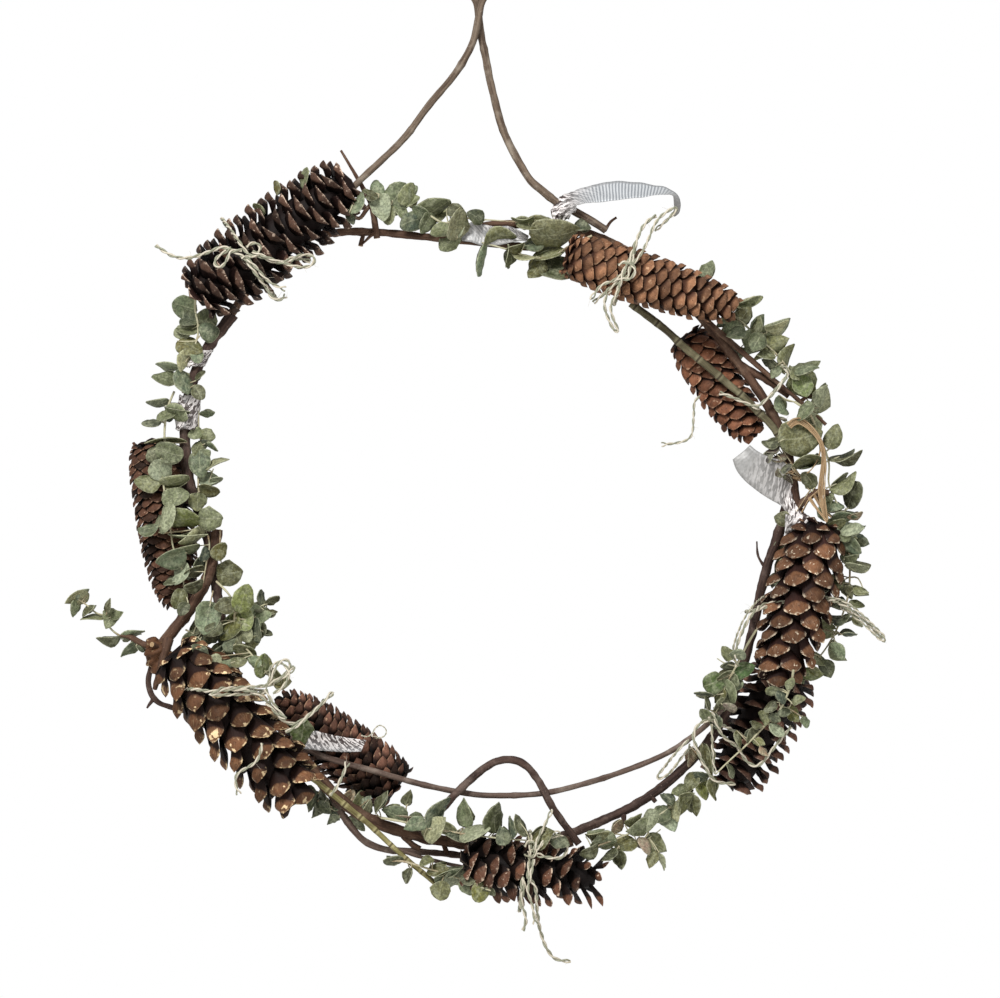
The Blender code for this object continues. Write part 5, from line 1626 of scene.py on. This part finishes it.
def add_band(name, top, foot, radius, shift, stray, coat):
    """A crumpled band round the left ring stem."""
    stem = smooth_route(ROUTES["ring_stem_left"], 1.0)
    outer, inner, marks = [], [], []
    for row in range(BAND_ROWS + 1):
        share = row / BAND_ROWS
        z = top + (foot - top) * share
        spot = min(stem, key=lambda point: abs(point.z - z))
        for side in range(BAND_SIDES):
            angle = TAU * side / BAND_SIDES
            out = Vector((math.cos(angle), math.sin(angle), 0))
            rough = noise.noise(Vector((out.x * 2.2, out.y * 2.2, z * 0.28)))
            fray = noise.noise(Vector((out.x * 6, out.y * 6, 3.0))) * stray
            size = radius * (1 + BAND_ROUGH * rough)
            place = Vector((spot.x - shift, spot.y, z)) + out * size
            place.z += fray if row in (0, BAND_ROWS) else 0
            outer.append(place)
            inner.append(place - out * BAND_THICK)
            marks.append(ribbon_marks(size * angle, share, 0.2, 0.9))
    size = len(outer)
    faces = grid_faces(BAND_ROWS + 1, BAND_SIDES, closed=True, flip=True)
    faces += grid_faces(BAND_ROWS + 1, BAND_SIDES, closed=True, start=size)
    for row in (0, BAND_ROWS):
        for side in range(BAND_SIDES):
            one, other = row * BAND_SIDES + side, row * BAND_SIDES + (side + 1) % BAND_SIDES
            face = (one, other, other + size, one + size)
            faces.append(face if row == 0 else face[::-1])
    piece = Piece()
    piece.add(outer + inner, faces, marks + marks)
    made = piece.build(name + "_sheer", coat, "ribbon", name)


def add_ribbons():
    coat = ribbon_coat()
    for ribbon in RIBBONS:
        add_ribbon(*ribbon, coat)
    for band in RIBBON_BANDS:
        add_band(*band, coat)


# ---------------------------------------------------------------- camera and light

VIEW_CENTRE = (2.0, 24.0)
VIEW_WIDTH = 660.0
VIEW_DISTANCE = 3000.0
SENSOR = 36.0
WORLD_LIGHT = 0.44
FLOOR_HALF = 0.9
FLOOR_DEPTH = 0.46


def add_camera():
    data = bpy.data.cameras.new("camera")
    data.sensor_width = SENSOR
    data.lens = SENSOR * VIEW_DISTANCE / VIEW_WIDTH
    data.clip_end = 50.0
    camera = bpy.data.objects.new("camera", data)
    camera.location = RING + Vector((VIEW_CENTRE[0], -VIEW_DISTANCE, VIEW_CENTRE[1])) * MM
    camera.rotation_euler = (math.pi / 2, 0.0, 0.0)
    bpy.context.scene.collection.objects.link(camera)
    bpy.context.scene.camera = camera


def add_light(name, place, power, size):
    data = bpy.data.lights.new(name, "AREA")
    data.energy = power
    data.size = size
    light = bpy.data.objects.new(name, data)
    light.location = Vector(place)
    target = RING - light.location
    light.rotation_euler = target.to_track_quat("-Z", "Y").to_euler()
    bpy.context.scene.collection.objects.link(light)


def add_world():
    """A white world, which lights the wreath less than it shows."""
    world = bpy.data.worlds.new("world")
    world.use_nodes = True
    tree = world.node_tree
    tree.nodes["Background"].inputs["Color"].default_value = (1.0, 1.0, 1.0, 1.0)
    seen = tree.nodes.new("ShaderNodeLightPath").outputs["Is Camera Ray"]
    power = tree.nodes.new("ShaderNodeMapRange")
    power.inputs["To Min"].default_value = WORLD_LIGHT
    tree.links.new(seen, power.inputs["Value"])
    tree.links.new(power.outputs["Result"], tree.nodes["Background"].inputs["Strength"])
    bpy.context.scene.world = world
    bpy.context.scene.view_settings.view_transform = "Standard"


def add_stage():
    add_world()
    add_light("key_light", (-0.9, -2.0, 1.4), 66.0, 0.7)
    add_light("fill_light", (1.6, -1.8, 0.2), 12.0, 1.4)
    mesh = bpy.data.meshes.new("floor")
    corners = ((-1, -1), (1, -1), (1, 1), (-1, 1))
    low = RING.z - FLOOR_DEPTH
    mesh.from_pydata([(x * FLOOR_HALF, y * FLOOR_HALF, low) for x, y in corners], [],
                     [(0, 1, 2, 3)])
    mesh.materials.append(Coat("floor", 0.9).finish((236, 235, 232)))
    floor = bpy.data.objects.new("floor", mesh)
    bpy.context.scene.collection.objects.link(floor)


def main():
    add_camera()
    add_stage()
    add_stems()
    add_cones()
    add_ties()
    add_raffia()
    add_ribbons()
    add_sprigs()


main()
